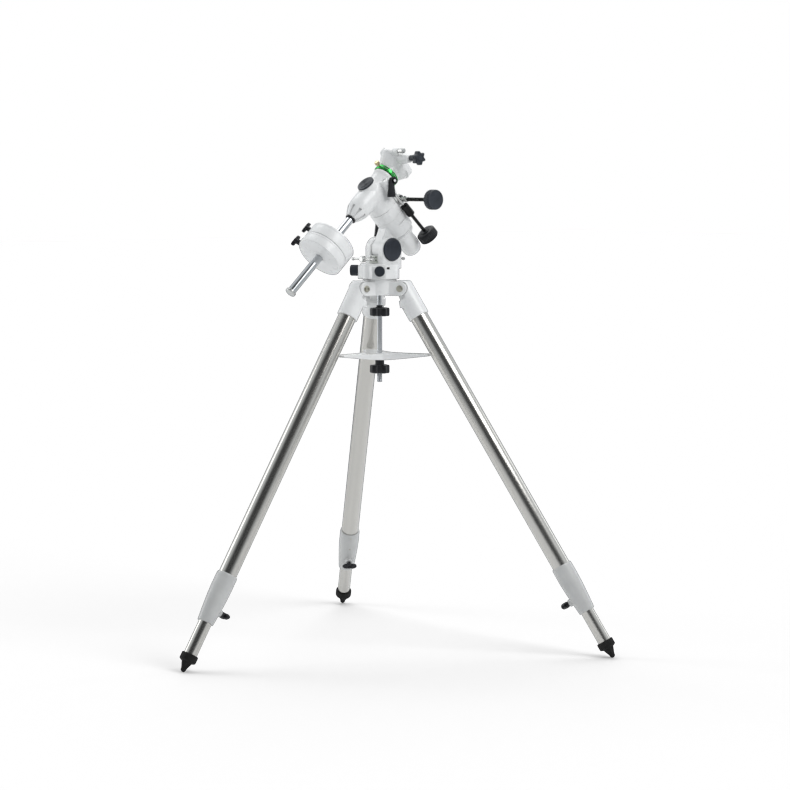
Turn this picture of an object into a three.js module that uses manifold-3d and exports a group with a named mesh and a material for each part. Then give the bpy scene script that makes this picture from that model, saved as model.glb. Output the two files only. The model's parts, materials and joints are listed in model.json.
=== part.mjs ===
// German equatorial mount on a three-legged field tripod, in its parked position.
// Millimetres, +Z up. The polar axis points to -X (north) and up, the counterweight bar hangs on
// the north side in the meridian plane, and the clamp knobs face -Y.
import * as THREE from 'three';
import { mergeVertices } from 'three/addons/utils/BufferGeometryUtils.js';
import Module from 'manifold-3d';

const wasm = await Module();
wasm.setup();

// ---------------------------------------------------------------- driving dimensions
const LATITUDE = 47;            // degrees the polar axis is raised
const CLEAR = 0.3;              // gap between pieces that touch or run in each other

const LEG_SPLAY = 31.5;         // degrees from the vertical
const HINGE_RADIUS = 62.5;      // leg hinge from the azimuth axis
const HINGE_HEIGHT = 901;
const LEG_LENGTH = 1049.7;      // hinge to the centre of the rubber foot's round tip
const LEG_AZIMUTHS = [180, -60, 60];
const UPPER_TUBE_RADIUS = 22.2; // 44.45 mm (1.75 in) stainless tube
const UPPER_TUBE_BORE = 20.7;
const LOWER_TUBE_RADIUS = 16;
const LOWER_TUBE_BORE = 14.4;
const COLLAR_TOP = 797;         // distances down the leg from its hinge
const COLLAR_BOTTOM = 925;
const CLAMP_SCREW_PLACE = 888;
const LEG_EXTENSION = 420;
const FOOT_TIP_RADIUS = 6;
const FOOT_LENGTH = 45;

const HUB_BOTTOM = 884;
const HUB_TOP = 924;
const HUB_RADIUS = 42;
const LUG_RADIUS = 17.5;
const LUG_INSIDE = 13.5;
const LUG_OUTSIDE = 25;

const ROD_RADIUS = 6;
const ROD_WAY_RADIUS = 6.5;
const ROD_BOTTOM = 665;
const TRAY_HEIGHT = 733;
const TRAY_REACH = 136;
const TRAY_BOSS_RADIUS = 11;
const TRAY_BOSS_BOTTOM = 720;
const FIXING_KNOB = [831, 851];   // bottom and top
const TRAY_KNOB = [687, 707];

const BASE_RADIUS = 49;
const BASE_TOP = 962;
const BLOCK_TOP = 957;
const AZIMUTH_KNOB_ANGLE = 50.5; // degrees each side of north
const AZIMUTH_KNOB_AXIS_HEIGHT = 945;
const ALTITUDE_X = 12.5;         // altitude axle
const ALTITUDE_Z = 998;
const CHEEK_INSIDE = 15.7;
const CHEEK_OUTSIDE = 34;
const CHEEK_RADIUS = 30.5;
const ALTITUDE_LUG_RADIUS = 27;
const AXLE_RADIUS = 8;
const NEAR_CAP_RADIUS = 29.3;
const FAR_CAP_RADIUS = 27;
const LATITUDE_BOLT_HEIGHT = 974.5;

const CROSS_X = -24;             // where the polar and declination axes cross
const CROSS_Z = 1140;
const RA_HOUSING_RADIUS = 38.5;
const RA_HOUSING_REAR = -129;    // heights along the polar axis from the crossing
const RA_HOUSING_FRONT = -50;
const RA_SHAFT_RADIUS = 15.9;
const WHEEL_RADIUS_RA = 31.5;
const RA_WORM_OFFSET = 42;       // worm axis above the polar axis
const RA_WORM_PLACE = -62;
const RA_KNOB_NEAR = 134.5;
const CONTROL_KNOB_RADIUS = 25;
const CONTROL_KNOB_LENGTH = 25;
const DEC_BARREL_RADIUS = 28;
const DEC_BARREL_TOP = 56;
const FRONT_COLLAR = 28.6;       // end of the collar round the polar axis
const DEC_SHAFT_RADIUS = 13;
const WHEEL_RADIUS_DEC = 25.6;
const WHEEL_PLACE_DEC = 28.5;    // along the declination axis
const DEC_WORM_OFFSET = 34.9;    // worm axis from the declination axis, towards -Y
const DEC_CONTROL_LEAN = [1.5, 3.2]; // degrees the control leans towards +X and -Y
const WORM_RADIUS = 9;
const CIRCLE_RADIUS = 33;
const SADDLE_LENGTH = 98;
const SADDLE_WIDTH = 60;
const SADDLE_FLOOR = 105;
const SADDLE_TOP = 118;
const BAR_RADIUS = 10;
const BAR_END = 350;
const WEIGHT_RADIUS = 61;
const WEIGHTS = [[170.5, 203.3, 178.5], [204.1, 231.5, 224]]; // near face, far face, screw

// ---------------------------------------------------------------- materials
const paint = () => new THREE.MeshStandardMaterial({ color: 0xe9eae9, roughness: 0.42, metalness: 0.0 });
const steel = () => new THREE.MeshStandardMaterial({ color: 0xb9b7b2, roughness: 0.25, metalness: 1.0 });
const plastic = () => new THREE.MeshStandardMaterial({ color: 0x23262b, roughness: 0.45, metalness: 0.0 });
const rubber = () => new THREE.MeshStandardMaterial({ color: 0x151515, roughness: 0.8, metalness: 0.0 });
const brass = () => new THREE.MeshStandardMaterial({ color: 0xc2a35a, roughness: 0.3, metalness: 1.0 });
const anodised = () => new THREE.MeshStandardMaterial({ color: 0x2f7d3d, roughness: 0.3, metalness: 0.8 });
const collarGrey = () => new THREE.MeshStandardMaterial({ color: 0xd9dad9, roughness: 0.5, metalness: 0.0 });

// ---------------------------------------------------------------- geometry helpers
const COARSENESS = 0.45;         // share of each round's full number of sides that is kept
const sides = (full) => Math.max(8, 2 * Math.round((full * COARSENESS) / 2));

const radians = (degrees) => THREE.MathUtils.degToRad(degrees);

// Signed volume of an indexed triangle list: negative when its faces point inwards.
function signedVolume(positions, index) {
  let sum = 0;
  const [a, b, c] = [new THREE.Vector3(), new THREE.Vector3(), new THREE.Vector3()];
  for (let i = 0; i < index.length; i += 3) {
    a.fromArray(positions, 3 * index[i]);
    b.fromArray(positions, 3 * index[i + 1]);
    c.fromArray(positions, 3 * index[i + 2]);
    sum += a.dot(b.cross(c));
  }
  return sum / 6;
}

// A closed three.js geometry as a manifold solid.
function solid(geometry) {
  const bare = geometry.clone();
  bare.deleteAttribute('normal');
  bare.deleteAttribute('uv');
  const merged = mergeVertices(bare, 1e-4);
  const positions = merged.attributes.position.array;
  const all = merged.index.array;
  const triangles = [];
  for (let i = 0; i < all.length; i += 3) {
    const [a, b, c] = [all[i], all[i + 1], all[i + 2]];
    if (a !== b && b !== c && a !== c) triangles.push(a, b, c);
  }
  if (signedVolume(positions, triangles) < 0) triangles.reverse();
  const mesh = new wasm.Mesh({
    numProp: 3,
    vertProperties: new Float32Array(positions),
    triVerts: new Uint32Array(triangles),
  });
  return new wasm.Manifold(mesh);
}

// A manifold solid as a flat-shaded three.js geometry.
function shell(manifold) {
  const mesh = manifold.getMesh();
  const geometry = new THREE.BufferGeometry();
  geometry.setAttribute('position', new THREE.BufferAttribute(new Float32Array(mesh.vertProperties), 3));
  geometry.setIndex(new THREE.BufferAttribute(new Uint32Array(mesh.triVerts), 1));
  geometry.computeVertexNormals();
  return geometry;
}

const join = (first, ...others) => others.reduce((sum, other) => sum.add(other), first);
const cut = (first, ...others) => others.reduce((rest, other) => rest.subtract(other), first);

// Directions that a piece made along +Z can be turned to.
const TURN = {
  z: (g) => g,
  x: (g) => g.rotateY(Math.PI / 2),
  y: (g) => g.rotateX(-Math.PI / 2),
};

// A turned piece: profile is [radius, height] pairs, axis is x, y or z, place is its origin.
function turned(profile, axis = 'z', place = [0, 0, 0], segments = 28) {
  const points = profile.map(([r, h]) => new THREE.Vector2(r, h));
  const geometry = new THREE.LatheGeometry(points, sides(segments)).rotateX(Math.PI / 2);
  return solid(TURN[axis](geometry).translate(...place));
}

// A cylinder from one height to another.
function rod(radius, from, to, axis = 'z', place = [0, 0, 0], segments = 28) {
  const profile = [[0, from], [radius, from], [radius, to], [0, to]];
  return turned(profile, axis, place, segments);
}

// A round hole for a turning part: its flats stand at the radius.
function bore(radius, from, to, axis = 'z', place = [0, 0, 0], segments = 28) {
  return rod(radius / Math.cos(Math.PI / sides(segments)), from, to, axis, place, segments);
}

// A closed outline, extruded along +Z between two heights.
function plate(shape, from, to, curveSegments = 6) {
  const geometry = new THREE.ExtrudeGeometry(shape, {
    depth: to - from,
    bevelEnabled: false,
    curveSegments,
  });
  return geometry.translate(0, 0, from);
}

// An outline drawn in X and Z, extruded along Y between two offsets.
function sidePlate(shape, from, to, curveSegments = 8) {
  return solid(plate(shape, -to, -from, curveSegments).rotateX(Math.PI / 2));
}

const box = (x0, x1, y0, y1, z0, z1) =>
  solid(new THREE.BoxGeometry(x1 - x0, y1 - y0, z1 - z0)
    .translate((x0 + x1) / 2, (y0 + y1) / 2, (z0 + z1) / 2));

const outline = (points) => new THREE.Shape(points.map(([x, y]) => new THREE.Vector2(x, y)));

// A closed polar outline: radius as a function of the angle in radians.
function polarOutline(radiusAt, steps) {
  const points = [];
  for (let i = 0; i < steps; i++) {
    const angle = (2 * Math.PI * i) / steps;
    points.push([radiusAt(angle) * Math.cos(angle), radiusAt(angle) * Math.sin(angle)]);
  }
  return outline(points);
}

function addPart(group, name, manifold, material) {
  const mesh = new THREE.Mesh(shell(manifold), material);
  mesh.name = name;
  group.add(mesh);
}

const mount = new THREE.Group();

// ---------------------------------------------------------------- tripod hub
// One pair of lugs on the +X side, with the hinge bolt's hole through them.
function lugPair() {
  const side = new THREE.Shape();
  side.moveTo(20, HINGE_HEIGHT - LUG_RADIUS);
  side.lineTo(HINGE_RADIUS, HINGE_HEIGHT - LUG_RADIUS);
  side.absarc(HINGE_RADIUS, HINGE_HEIGHT, LUG_RADIUS, -Math.PI / 2, Math.PI / 2);
  side.lineTo(20, HINGE_HEIGHT + LUG_RADIUS);
  return join(
    sidePlate(side, LUG_INSIDE, LUG_OUTSIDE),
    sidePlate(side, -LUG_OUTSIDE, -LUG_INSIDE),
  );
}

function tripodHub() {
  let hub = rod(HUB_RADIUS, HUB_BOTTOM, HUB_TOP, 'z', [0, 0, 0], 40);
  for (const azimuth of LEG_AZIMUTHS) hub = hub.add(lugPair().rotate([0, 0, azimuth]));
  for (const azimuth of LEG_AZIMUTHS) {
    const hole = rod(5.4, -40, 40, 'y', [HINGE_RADIUS, 0, HINGE_HEIGHT], 20);
    hub = hub.subtract(hole.rotate([0, 0, azimuth]));
  }
  const dog = box(-22, -10, -9, 9, HUB_TOP - 1, HUB_TOP + 16);
  return cut(hub.add(dog), rod(ROD_WAY_RADIUS, HUB_BOTTOM - 1, HUB_TOP + 20, 'z', [0, 0, 0], 20));
}

addPart(mount, 'tripod_hub', tripodHub(), paint());

// ---------------------------------------------------------------- legs
// Pieces of one leg, drawn with the hinge at the origin and the tube going down -Z; +X is outside.
function legCasting() {
  const tongueReach = LUG_RADIUS - 0.7;
  const crownHeight = 19.5;     // flat top over the hinge, level when the leg is spread
  const [sine, cosine] = [Math.sin(radians(LEG_SPLAY)), Math.cos(radians(LEG_SPLAY))];
  const socketTop = -30;
  const socketBottom = -82;
  const side = new THREE.Shape();
  side.moveTo(-24, socketTop - 12);
  side.lineTo(-17, socketTop + 6);
  side.absarc(0, 0, tongueReach, Math.PI * 1.15, radians(118), true);
  side.lineTo(-4, (crownHeight + 4 * sine) / cosine);
  side.lineTo(21, (crownHeight - 21 * sine) / cosine);
  side.lineTo(24.8, 6.4);
  side.lineTo(26.2, 2);
  side.lineTo(26.2, socketTop - 12);
  const cheekRoom = (from, to) => join(
    rod(LUG_RADIUS + 1.2, from, to, 'y', [0, 0, 0], 32),
    sidePlate(outline([[0, -26], [-40, -26], [-40, 40], [-8, 40], [14, 12.4]]), from, to),
  );
  const roundBack = join(
    rod(26.4, -60, 40, 'z', [0, 0, 0], 48),
    sidePlate(outline([[-45, -60], [6, -60], [6, 40], [-45, 40]]), -LUG_OUTSIDE - 0.6, LUG_OUTSIDE + 0.6),
  );
  let casting = join(
    sidePlate(side, -LUG_OUTSIDE - 0.6, LUG_OUTSIDE + 0.6).intersect(roundBack),
    rod(26.2, socketBottom, socketTop, 'z', [0, 0, 0], 48),
  );
  casting = cut(casting, cheekRoom(LUG_INSIDE - 0.5, 40), cheekRoom(-40, -LUG_INSIDE + 0.5));
  return cut(
    casting,
    rod(UPPER_TUBE_RADIUS + CLEAR, socketBottom - 5, socketTop - 8, 'z', [0, 0, 0], 32),
    rod(5.4, -60, 60, 'y', [0, 0, 0], 20),
  );
}

function hingeBolt() {
  const reach = LUG_OUTSIDE + CLEAR;
  return turned([
    [0, -reach - 5], [7.5, -reach - 5], [8.5, -reach - 4], [8.5, -reach], [5, -reach],
    [5, reach], [8.5, reach], [8.5, reach + 4], [7.5, reach + 5], [0, reach + 5],
  ], 'y', [0, 0, 0], 20);
}

const tube = (outside, inside, from, to, segments = 32) => turned([
  [inside, from], [outside, from], [outside, to], [inside, to], [inside, from],
], 'z', [0, 0, 0], segments);

function clampCollar() {
  const upperBore = UPPER_TUBE_RADIUS + CLEAR;
  const lowerBore = LOWER_TUBE_RADIUS + CLEAR;
  const step = -COLLAR_TOP - 42;
  const body = turned([
    [upperBore, -COLLAR_TOP], [24.6, -COLLAR_TOP], [25.6, -COLLAR_TOP - 4], [25.8, -COLLAR_TOP - 34],
    [25, -COLLAR_TOP - 60], [22.6, -COLLAR_TOP - 96], [20.6, -COLLAR_BOTTOM + 4],
    [19.4, -COLLAR_BOTTOM], [lowerBore, -COLLAR_BOTTOM], [lowerBore, step], [upperBore, step],
    [upperBore, -COLLAR_TOP],
  ], 'z', [0, 0, 0], 32);
  const boss = rod(9, -30, -18, 'x', [0, 0, -CLAMP_SCREW_PLACE], 20);
  const hole = rod(4.3, -40, -10, 'x', [0, 0, -CLAMP_SCREW_PLACE], 16);
  return cut(body.add(boss), hole, rod(lowerBore, -COLLAR_BOTTOM - 1, step + 1, 'z', [0, 0, 0], 32));
}

// Wing screw that squeezes the collar, its head towards the tripod's middle.
function clampScrew() {
  const stem = turned([[0, -46], [3.6, -46], [3.6, -17], [0, -17]], 'x', [0, 0, -CLAMP_SCREW_PLACE], 16);
  const wing = new THREE.Shape();
  wing.absellipse(0, 0, 7.5, 19, 0, 2 * Math.PI);
  const head = solid(plate(wing, -48, -38, 5).rotateY(Math.PI / 2).translate(0, 0, -CLAMP_SCREW_PLACE));
  const neck = rod(7, -38, -31, 'x', [0, 0, -CLAMP_SCREW_PLACE], 16);
  return join(stem, head, neck);
}

function rubberFoot() {
  const top = -LEG_LENGTH + FOOT_LENGTH - FOOT_TIP_RADIUS;
  const profile = [
    [0, top - 12], [LOWER_TUBE_RADIUS + CLEAR, top - 12], [LOWER_TUBE_RADIUS + CLEAR, top],
    [19.4, top], [20.5, top - 1.5], [20.5, top - 16], [18.4, top - 18], [8, -LEG_LENGTH + 3],
  ];
  for (const degrees of [10, 32, 58]) {
    const angle = radians(degrees);
    profile.push([FOOT_TIP_RADIUS * Math.cos(angle), -LEG_LENGTH - FOOT_TIP_RADIUS * Math.sin(angle)]);
  }
  profile.push([0, -LEG_LENGTH - FOOT_TIP_RADIUS]);
  return turned(profile, 'z', [0, 0, 0], 32);
}

LEG_AZIMUTHS.forEach((azimuth, i) => {
  const number = i + 1;
  const spoke = new THREE.Group();
  spoke.rotation.z = radians(azimuth);
  const leg = new THREE.Group();
  leg.position.set(HINGE_RADIUS, 0, HINGE_HEIGHT);
  leg.rotation.y = -radians(LEG_SPLAY);
  const footTop = LEG_LENGTH - FOOT_LENGTH + FOOT_TIP_RADIUS;
  addPart(leg, `leg_casting_${number}`, legCasting(), paint());
  addPart(leg, `leg_hinge_bolt_${number}`, hingeBolt(), steel());
  addPart(leg, `upper_leg_tube_${number}`,
    tube(UPPER_TUBE_RADIUS, UPPER_TUBE_BORE, -COLLAR_TOP - 41.5, -38.5), steel());
  addPart(leg, `leg_clamp_collar_${number}`, clampCollar(), collarGrey());
  addPart(leg, `leg_clamp_screw_${number}`, clampScrew(), plastic());
  addPart(leg, `lower_leg_tube_${number}`,
    tube(LOWER_TUBE_RADIUS, LOWER_TUBE_BORE, -footTop - 11.6, -COLLAR_TOP + LEG_EXTENSION - 20), steel());
  addPart(leg, `leg_foot_${number}`, rubberFoot(), rubber());
  spoke.add(leg);
  mount.add(spoke);
});

// ---------------------------------------------------------------- centre rod, knobs and tray
function knurledKnob(radius, profile, lobes, depth, axis = 'z', place = [0, 0, 0]) {
  const [from, to] = [profile[0][1], profile[profile.length - 1][1]];
  const ribs = polarOutline((angle) => radius - depth * (0.5 - 0.5 * Math.cos(lobes * angle)), lobes * 2);
  const grip = solid(TURN[axis](plate(ribs, from - 1, to + 1)).translate(...place));
  return turned(profile, axis, place, 36).intersect(grip);
}

function roundKnobProfile(radius, from, to, chamfer) {
  return [
    [0, from], [radius - chamfer, from], [radius, from + chamfer],
    [radius, to - chamfer], [radius - chamfer, to], [0, to],
  ];
}

function fixingKnob() {
  const grip = knurledKnob(24.5, roundKnobProfile(24.5, ...FIXING_KNOB, 2.5), 8, 2.6);
  const [bottom, top] = FIXING_KNOB;
  const neck = turned([[0, top - 1], [12, top - 1], [8, top + 3], [8, top + 7], [0, top + 7]]);
  return cut(grip.add(neck), rod(ROD_RADIUS + 0.1, bottom - 10, top + 10, 'z', [0, 0, 0], 20));
}

function trayKnob() {
  const grip = knurledKnob(24.5, roundKnobProfile(24.5, ...TRAY_KNOB, 2.5), 8, 2.6);
  const [bottom, top] = TRAY_KNOB;
  const neck = rod(TRAY_BOSS_RADIUS, top - 1, TRAY_BOSS_BOTTOM - 0.5);
  return cut(grip.add(neck), rod(ROD_WAY_RADIUS, bottom - 10, top + 20, 'z', [0, 0, 0], 20));
}

addPart(mount, 'centre_rod', rod(ROD_RADIUS, ROD_BOTTOM, 956, 'z', [0, 0, 0], 20), steel());
addPart(mount, 'head_fixing_knob', fixingKnob(), plastic());
addPart(mount, 'tray_knob', trayKnob(), plastic());

// Three arms with concave edges between them; each tip rests against a leg.
function trayOutline(reach, tipHalf, waist) {
  const shape = new THREE.Shape();
  LEG_AZIMUTHS.map((azimuth) => radians(azimuth)).sort((a, b) => a - b).forEach((angle, i) => {
    const at = (along, across) => new THREE.Vector2(
      along * Math.cos(angle) - across * Math.sin(angle),
      along * Math.sin(angle) + across * Math.cos(angle),
    );
    const valley = (turn) => new THREE.Vector2(
      waist * Math.cos(angle + turn), waist * Math.sin(angle + turn),
    );
    const near = valley(-Math.PI / 3);
    if (i === 0) shape.moveTo(near.x, near.y);
    const [first, second, last] = [at(reach - 4, -tipHalf), at(reach, 0), at(reach - 4, tipHalf)];
    const bendIn = at(0.62 * reach, -tipHalf * 0.8);
    const bendOut = at(0.62 * reach, tipHalf * 0.8);
    shape.quadraticCurveTo(bendIn.x, bendIn.y, first.x, first.y);
    shape.quadraticCurveTo(second.x, second.y, last.x, last.y);
    shape.quadraticCurveTo(bendOut.x, bendOut.y, valley(Math.PI / 3).x, valley(Math.PI / 3).y);
  });
  return shape;
}

function accessoryTray() {
  const [rim, floor, root] = [TRAY_HEIGHT + 4, TRAY_HEIGHT + 1.5, TRAY_HEIGHT - 11];
  const sheet = solid(plate(trayOutline(TRAY_REACH, 21, 44), root, rim, 6));
  const dish = solid(plate(trayOutline(TRAY_REACH - 4, 18, 40), floor, rim + 1, 6));
  const bowl = turned([[0, root], [42, root], [TRAY_REACH, rim - 4], [TRAY_REACH, rim], [0, rim]]);
  const hollow = solid(plate(trayOutline(TRAY_REACH - 3, 18.5, 41), root - 1, TRAY_HEIGHT - 2, 6));
  const skirt = cut(sheet.intersect(bowl), dish, hollow);
  const boss = rod(TRAY_BOSS_RADIUS, TRAY_BOSS_BOTTOM, rim, 'z', [0, 0, 0], 32);
  return cut(join(skirt, boss), rod(ROD_WAY_RADIUS, TRAY_BOSS_BOTTOM - 5, rim + 5, 'z', [0, 0, 0], 20));
}

addPart(mount, 'accessory_tray', accessoryTray(), paint());

// ---------------------------------------------------------------- azimuth base and yoke
const BASE_BOTTOM = HUB_TOP + CLEAR;
const knobAngle = radians(AZIMUTH_KNOB_ANGLE);

// North block: a flat front and one sloping face for each azimuth knob.
function northBlock() {
  const front = 47;
  const half = 28;
  const face = [Math.cos(knobAngle), Math.sin(knobAngle)];
  const faceAt = (distance, across, side) => [
    -(distance * face[0] - across * face[1]),
    side * (distance * face[1] + across * face[0]),
  ];
  const block = outline([
    [-front, half], [-front, -half], faceAt(51.7, 15, -1), [0, -BASE_RADIUS + 1],
    [0, BASE_RADIUS - 1], faceAt(51.7, 15, 1),
  ]);
  return solid(plate(block, BASE_BOTTOM, BLOCK_TOP));
}

function yokeCheek(side) {
  const cheek = new THREE.Shape();
  cheek.moveTo(ALTITUDE_X - CHEEK_RADIUS, BASE_TOP - 12);
  cheek.lineTo(ALTITUDE_X + CHEEK_RADIUS, BASE_TOP - 12);
  cheek.absarc(ALTITUDE_X, ALTITUDE_Z, CHEEK_RADIUS, 0, Math.PI);
  const [from, to] = side > 0 ? [CHEEK_INSIDE, CHEEK_OUTSIDE] : [-CHEEK_OUTSIDE, -CHEEK_INSIDE];
  return sidePlate(cheek, from, to, 14);
}

// Walls between the cheeks that carry the latitude bolts.
const WALL_TOP = 983;
const WALL_INSET = 7.4;
const WALLS = [
  [ALTITUDE_X - CHEEK_RADIUS, ALTITUDE_X - CHEEK_RADIUS + WALL_INSET],
  [ALTITUDE_X + CHEEK_RADIUS - WALL_INSET, ALTITUDE_X + CHEEK_RADIUS],
];

function azimuthBase() {
  let base = join(
    rod(BASE_RADIUS, BASE_BOTTOM, BASE_TOP, 'z', [0, 0, 0], 44),
    northBlock(), yokeCheek(1), yokeCheek(-1),
  );
  for (const [from, to] of WALLS) base = base.add(box(from, to, -16, 16, BASE_TOP - 10, WALL_TOP));
  for (const side of [1, -1]) {
    const direction = 180 + side * AZIMUTH_KNOB_ANGLE;
    const screwWay = rod(3.4, 20, 60, 'x', [0, 0, AZIMUTH_KNOB_AXIS_HEIGHT], 16);
    base = base.subtract(screwWay.rotate([0, 0, direction]));
  }
  const pointerWindow = box(-6, 6, -3, 3, 949, 955).translate([0, -BASE_RADIUS, 0]).rotate([0, 0, -15.5]);
  return cut(
    base, pointerWindow,
    rod(26.5, BASE_BOTTOM - 1, HUB_TOP + 18, 'z', [0, 0, 0], 32),
    rod(ROD_WAY_RADIUS, BASE_BOTTOM - 1, BASE_TOP + 1, 'z', [0, 0, 0], 20),
    rod(AXLE_RADIUS + 0.15, -50, 50, 'y', [ALTITUDE_X, 0, ALTITUDE_Z], 24),
    rod(4.4, -60, 80, 'x', [0, 0, LATITUDE_BOLT_HEIGHT], 16),
  );
}

addPart(mount, 'azimuth_base', azimuthBase(), paint());

// Azimuth knobs: screws through the north block's sloping faces, on each side of the hub's dog.
[['west', 1], ['east', -1]].forEach(([name, side]) => {
  const group = new THREE.Group();
  group.position.z = AZIMUTH_KNOB_AXIS_HEIGHT;
  group.rotation.z = radians(180 + side * AZIMUTH_KNOB_ANGLE);
  const grip = knurledKnob(13.2, roundKnobProfile(13.2, 54.5, 73.5, 1.5), 12, 1, 'x');
  addPart(group, `azimuth_knob_${name}`, join(grip, rod(3, 26, 55, 'x', [0, 0, 0], 14)), plastic());
  mount.add(group);
});

const axleParts = new THREE.Group();
axleParts.position.set(ALTITUDE_X, 0, ALTITUDE_Z);
const CAP_SEAT = CHEEK_OUTSIDE + CLEAR;
const CAP_FACE = 38;

// Low domed cap between two places on the axle; the first is the one against the cheek.
const axleCap = (radius, seat, face) => {
  const out = Math.sign(face - seat);
  return turned([
    [0, seat], [radius, seat], [radius, face - out * 2.2], [radius - 1.2, face - out * 0.8],
    [radius - 3.5, face], [0, face],
  ], 'y', [0, 0, 0], 40);
};
addPart(axleParts, 'altitude_axle', join(
  rod(AXLE_RADIUS, -CHEEK_OUTSIDE + 0.2, CAP_SEAT + 1, 'y', [0, 0, 0], 24),
  axleCap(FAR_CAP_RADIUS, CAP_SEAT, CAP_FACE),
), plastic());
addPart(axleParts, 'altitude_cap', axleCap(NEAR_CAP_RADIUS, -CAP_SEAT, -CAP_FACE), plastic());
mount.add(axleParts);

// Latitude bolts: a screw, a collar head and a sliding tommy bar with ball ends.
function latitudeBolt(tip, headFrom, headTo, barHalf) {
  const [low, high] = tip < headFrom ? [tip, headFrom + 1] : [headTo - 1, tip];
  const place = [0, 0, LATITUDE_BOLT_HEIGHT];
  const [from, to] = [Math.min(headFrom, headTo), Math.max(headFrom, headTo)];
  const middle = [(from + to) / 2, 0, LATITUDE_BOLT_HEIGHT];
  const ball = (y) => solid(new THREE.SphereGeometry(3.4, 8, 6).translate(middle[0], y, middle[2]));
  return join(
    rod(4, low, high, 'x', place, 16),
    rod(7.5, from, to, 'x', place, 20),
    rod(1.8, -barHalf, barHalf, 'y', middle, 10),
    ball(-barHalf), ball(barHalf),
  );
}

addPart(mount, 'latitude_bolt_north', latitudeBolt(-7, -46.5, -59.5, 39), steel());
addPart(mount, 'latitude_bolt_south', latitudeBolt(32, 48, 58, 30), steel());

// ---------------------------------------------------------------- polar axis group
// Inside it +Z is the polar axis, +X the declination axis towards the saddle, -Y the clamp side.
const polar = new THREE.Group();
polar.position.set(CROSS_X, 0, CROSS_Z);
polar.rotation.y = -radians(90 - LATITUDE);
mount.add(polar);

const latitude = radians(LATITUDE);
const toPolar = (x, z) => [
  (x - CROSS_X) * Math.sin(latitude) + (z - CROSS_Z) * Math.cos(latitude),
  -(x - CROSS_X) * Math.cos(latitude) + (z - CROSS_Z) * Math.sin(latitude),
];
const [LUG_X, LUG_Z] = toPolar(ALTITUDE_X, ALTITUDE_Z);
const RA_WORM = [RA_WORM_OFFSET, 0, RA_WORM_PLACE];

function raHousing() {
  const lugDisc = rod(ALTITUDE_LUG_RADIUS, -15.3, 15.3, 'y', [LUG_X, 0, LUG_Z], 40);
  const neck = sidePlate(outline([
    [-30, -84], [-50, -94], [LUG_X, LUG_Z + ALTITUDE_LUG_RADIUS - 0.5], [LUG_X, LUG_Z],
    [-46, RA_HOUSING_REAR], [-30, RA_HOUSING_REAR],
  ]), -15.3, 15.3);
  const barrel = turned([
    [0, RA_HOUSING_REAR], [36.5, RA_HOUSING_REAR], [RA_HOUSING_RADIUS, RA_HOUSING_REAR + 2.5],
    [RA_HOUSING_RADIUS, -79.4], [37.6, -78.6], [RA_HOUSING_RADIUS, -77.8],
    [RA_HOUSING_RADIUS, RA_HOUSING_FRONT - 2], [37, RA_HOUSING_FRONT], [0, RA_HOUSING_FRONT],
  ], 'z', [0, 0, 0], 48);
  const wormBox = join(
    rod(12.4, -24, 24, 'y', RA_WORM, 28),
    box(20, RA_WORM_OFFSET, -24, 24, RA_WORM_PLACE - 12, RA_WORM_PLACE + 12),
  );
  const leverBoss = rod(9, 30, 40.5, 'y', [0, 0, -96], 20);
  return cut(
    join(barrel, lugDisc, neck, wormBox, leverBoss),
    rod(RA_SHAFT_RADIUS + 0.35, RA_HOUSING_REAR - 1, -60, 'z', [0, 0, 0], 36),
    rod(WHEEL_RADIUS_RA + 0.6, -72, RA_HOUSING_FRONT + 1, 'z', [0, 0, 0], 48),
    rod(6.4, -40, 40, 'y', RA_WORM, 20),
    rod(WORM_RADIUS + 0.7, -12, 12, 'y', RA_WORM, 24),
    rod(AXLE_RADIUS + 0.5, -50, 50, 'y', [LUG_X, 0, LUG_Z], 32),
    rod(4.2, 24, 50, 'y', [0, 0, -96], 16),
  );
}

addPart(polar, 'ra_housing', raHousing(), paint());
addPart(polar, 'ra_shaft', turned([
  [12, -150], [RA_SHAFT_RADIUS, -150], [RA_SHAFT_RADIUS, -34], [12, -34], [12, -150],
], 'z', [0, 0, 0], 36), steel());
addPart(polar, 'ra_worm_wheel', turned([
  [RA_SHAFT_RADIUS + 0.35, -70], [WHEEL_RADIUS_RA, -70], [WHEEL_RADIUS_RA, -66.5], [WHEEL_RADIUS_RA - 0.9, -62],
  [WHEEL_RADIUS_RA, -57.5], [WHEEL_RADIUS_RA, -54], [RA_SHAFT_RADIUS + 0.35, -54],
  [RA_SHAFT_RADIUS + 0.35, -70],
], 'z', [0, 0, 0], 48), brass());
addPart(polar, 'ra_setting_circle', turned([
  [RA_SHAFT_RADIUS + CLEAR, -143], [30.5, -143], [33, -140.5], [33, -132.6], [31.5, -131.2],
  [RA_SHAFT_RADIUS + CLEAR, -131.2], [RA_SHAFT_RADIUS + CLEAR, -143],
], 'z', [0, 0, 0], 44), paint());
addPart(polar, 'polar_scope_cap', turned([
  [0, -206], [10, -206], [15.6, -204.2], [20.2, -200], [23, -193.5], [24, -185],
  [24, -146], [23.2, -143.6], [RA_SHAFT_RADIUS + 0.35, -143.6], [RA_SHAFT_RADIUS + 0.35, -168], [0, -168],
], 'z', [0, 0, 0], 40), paint());

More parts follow.
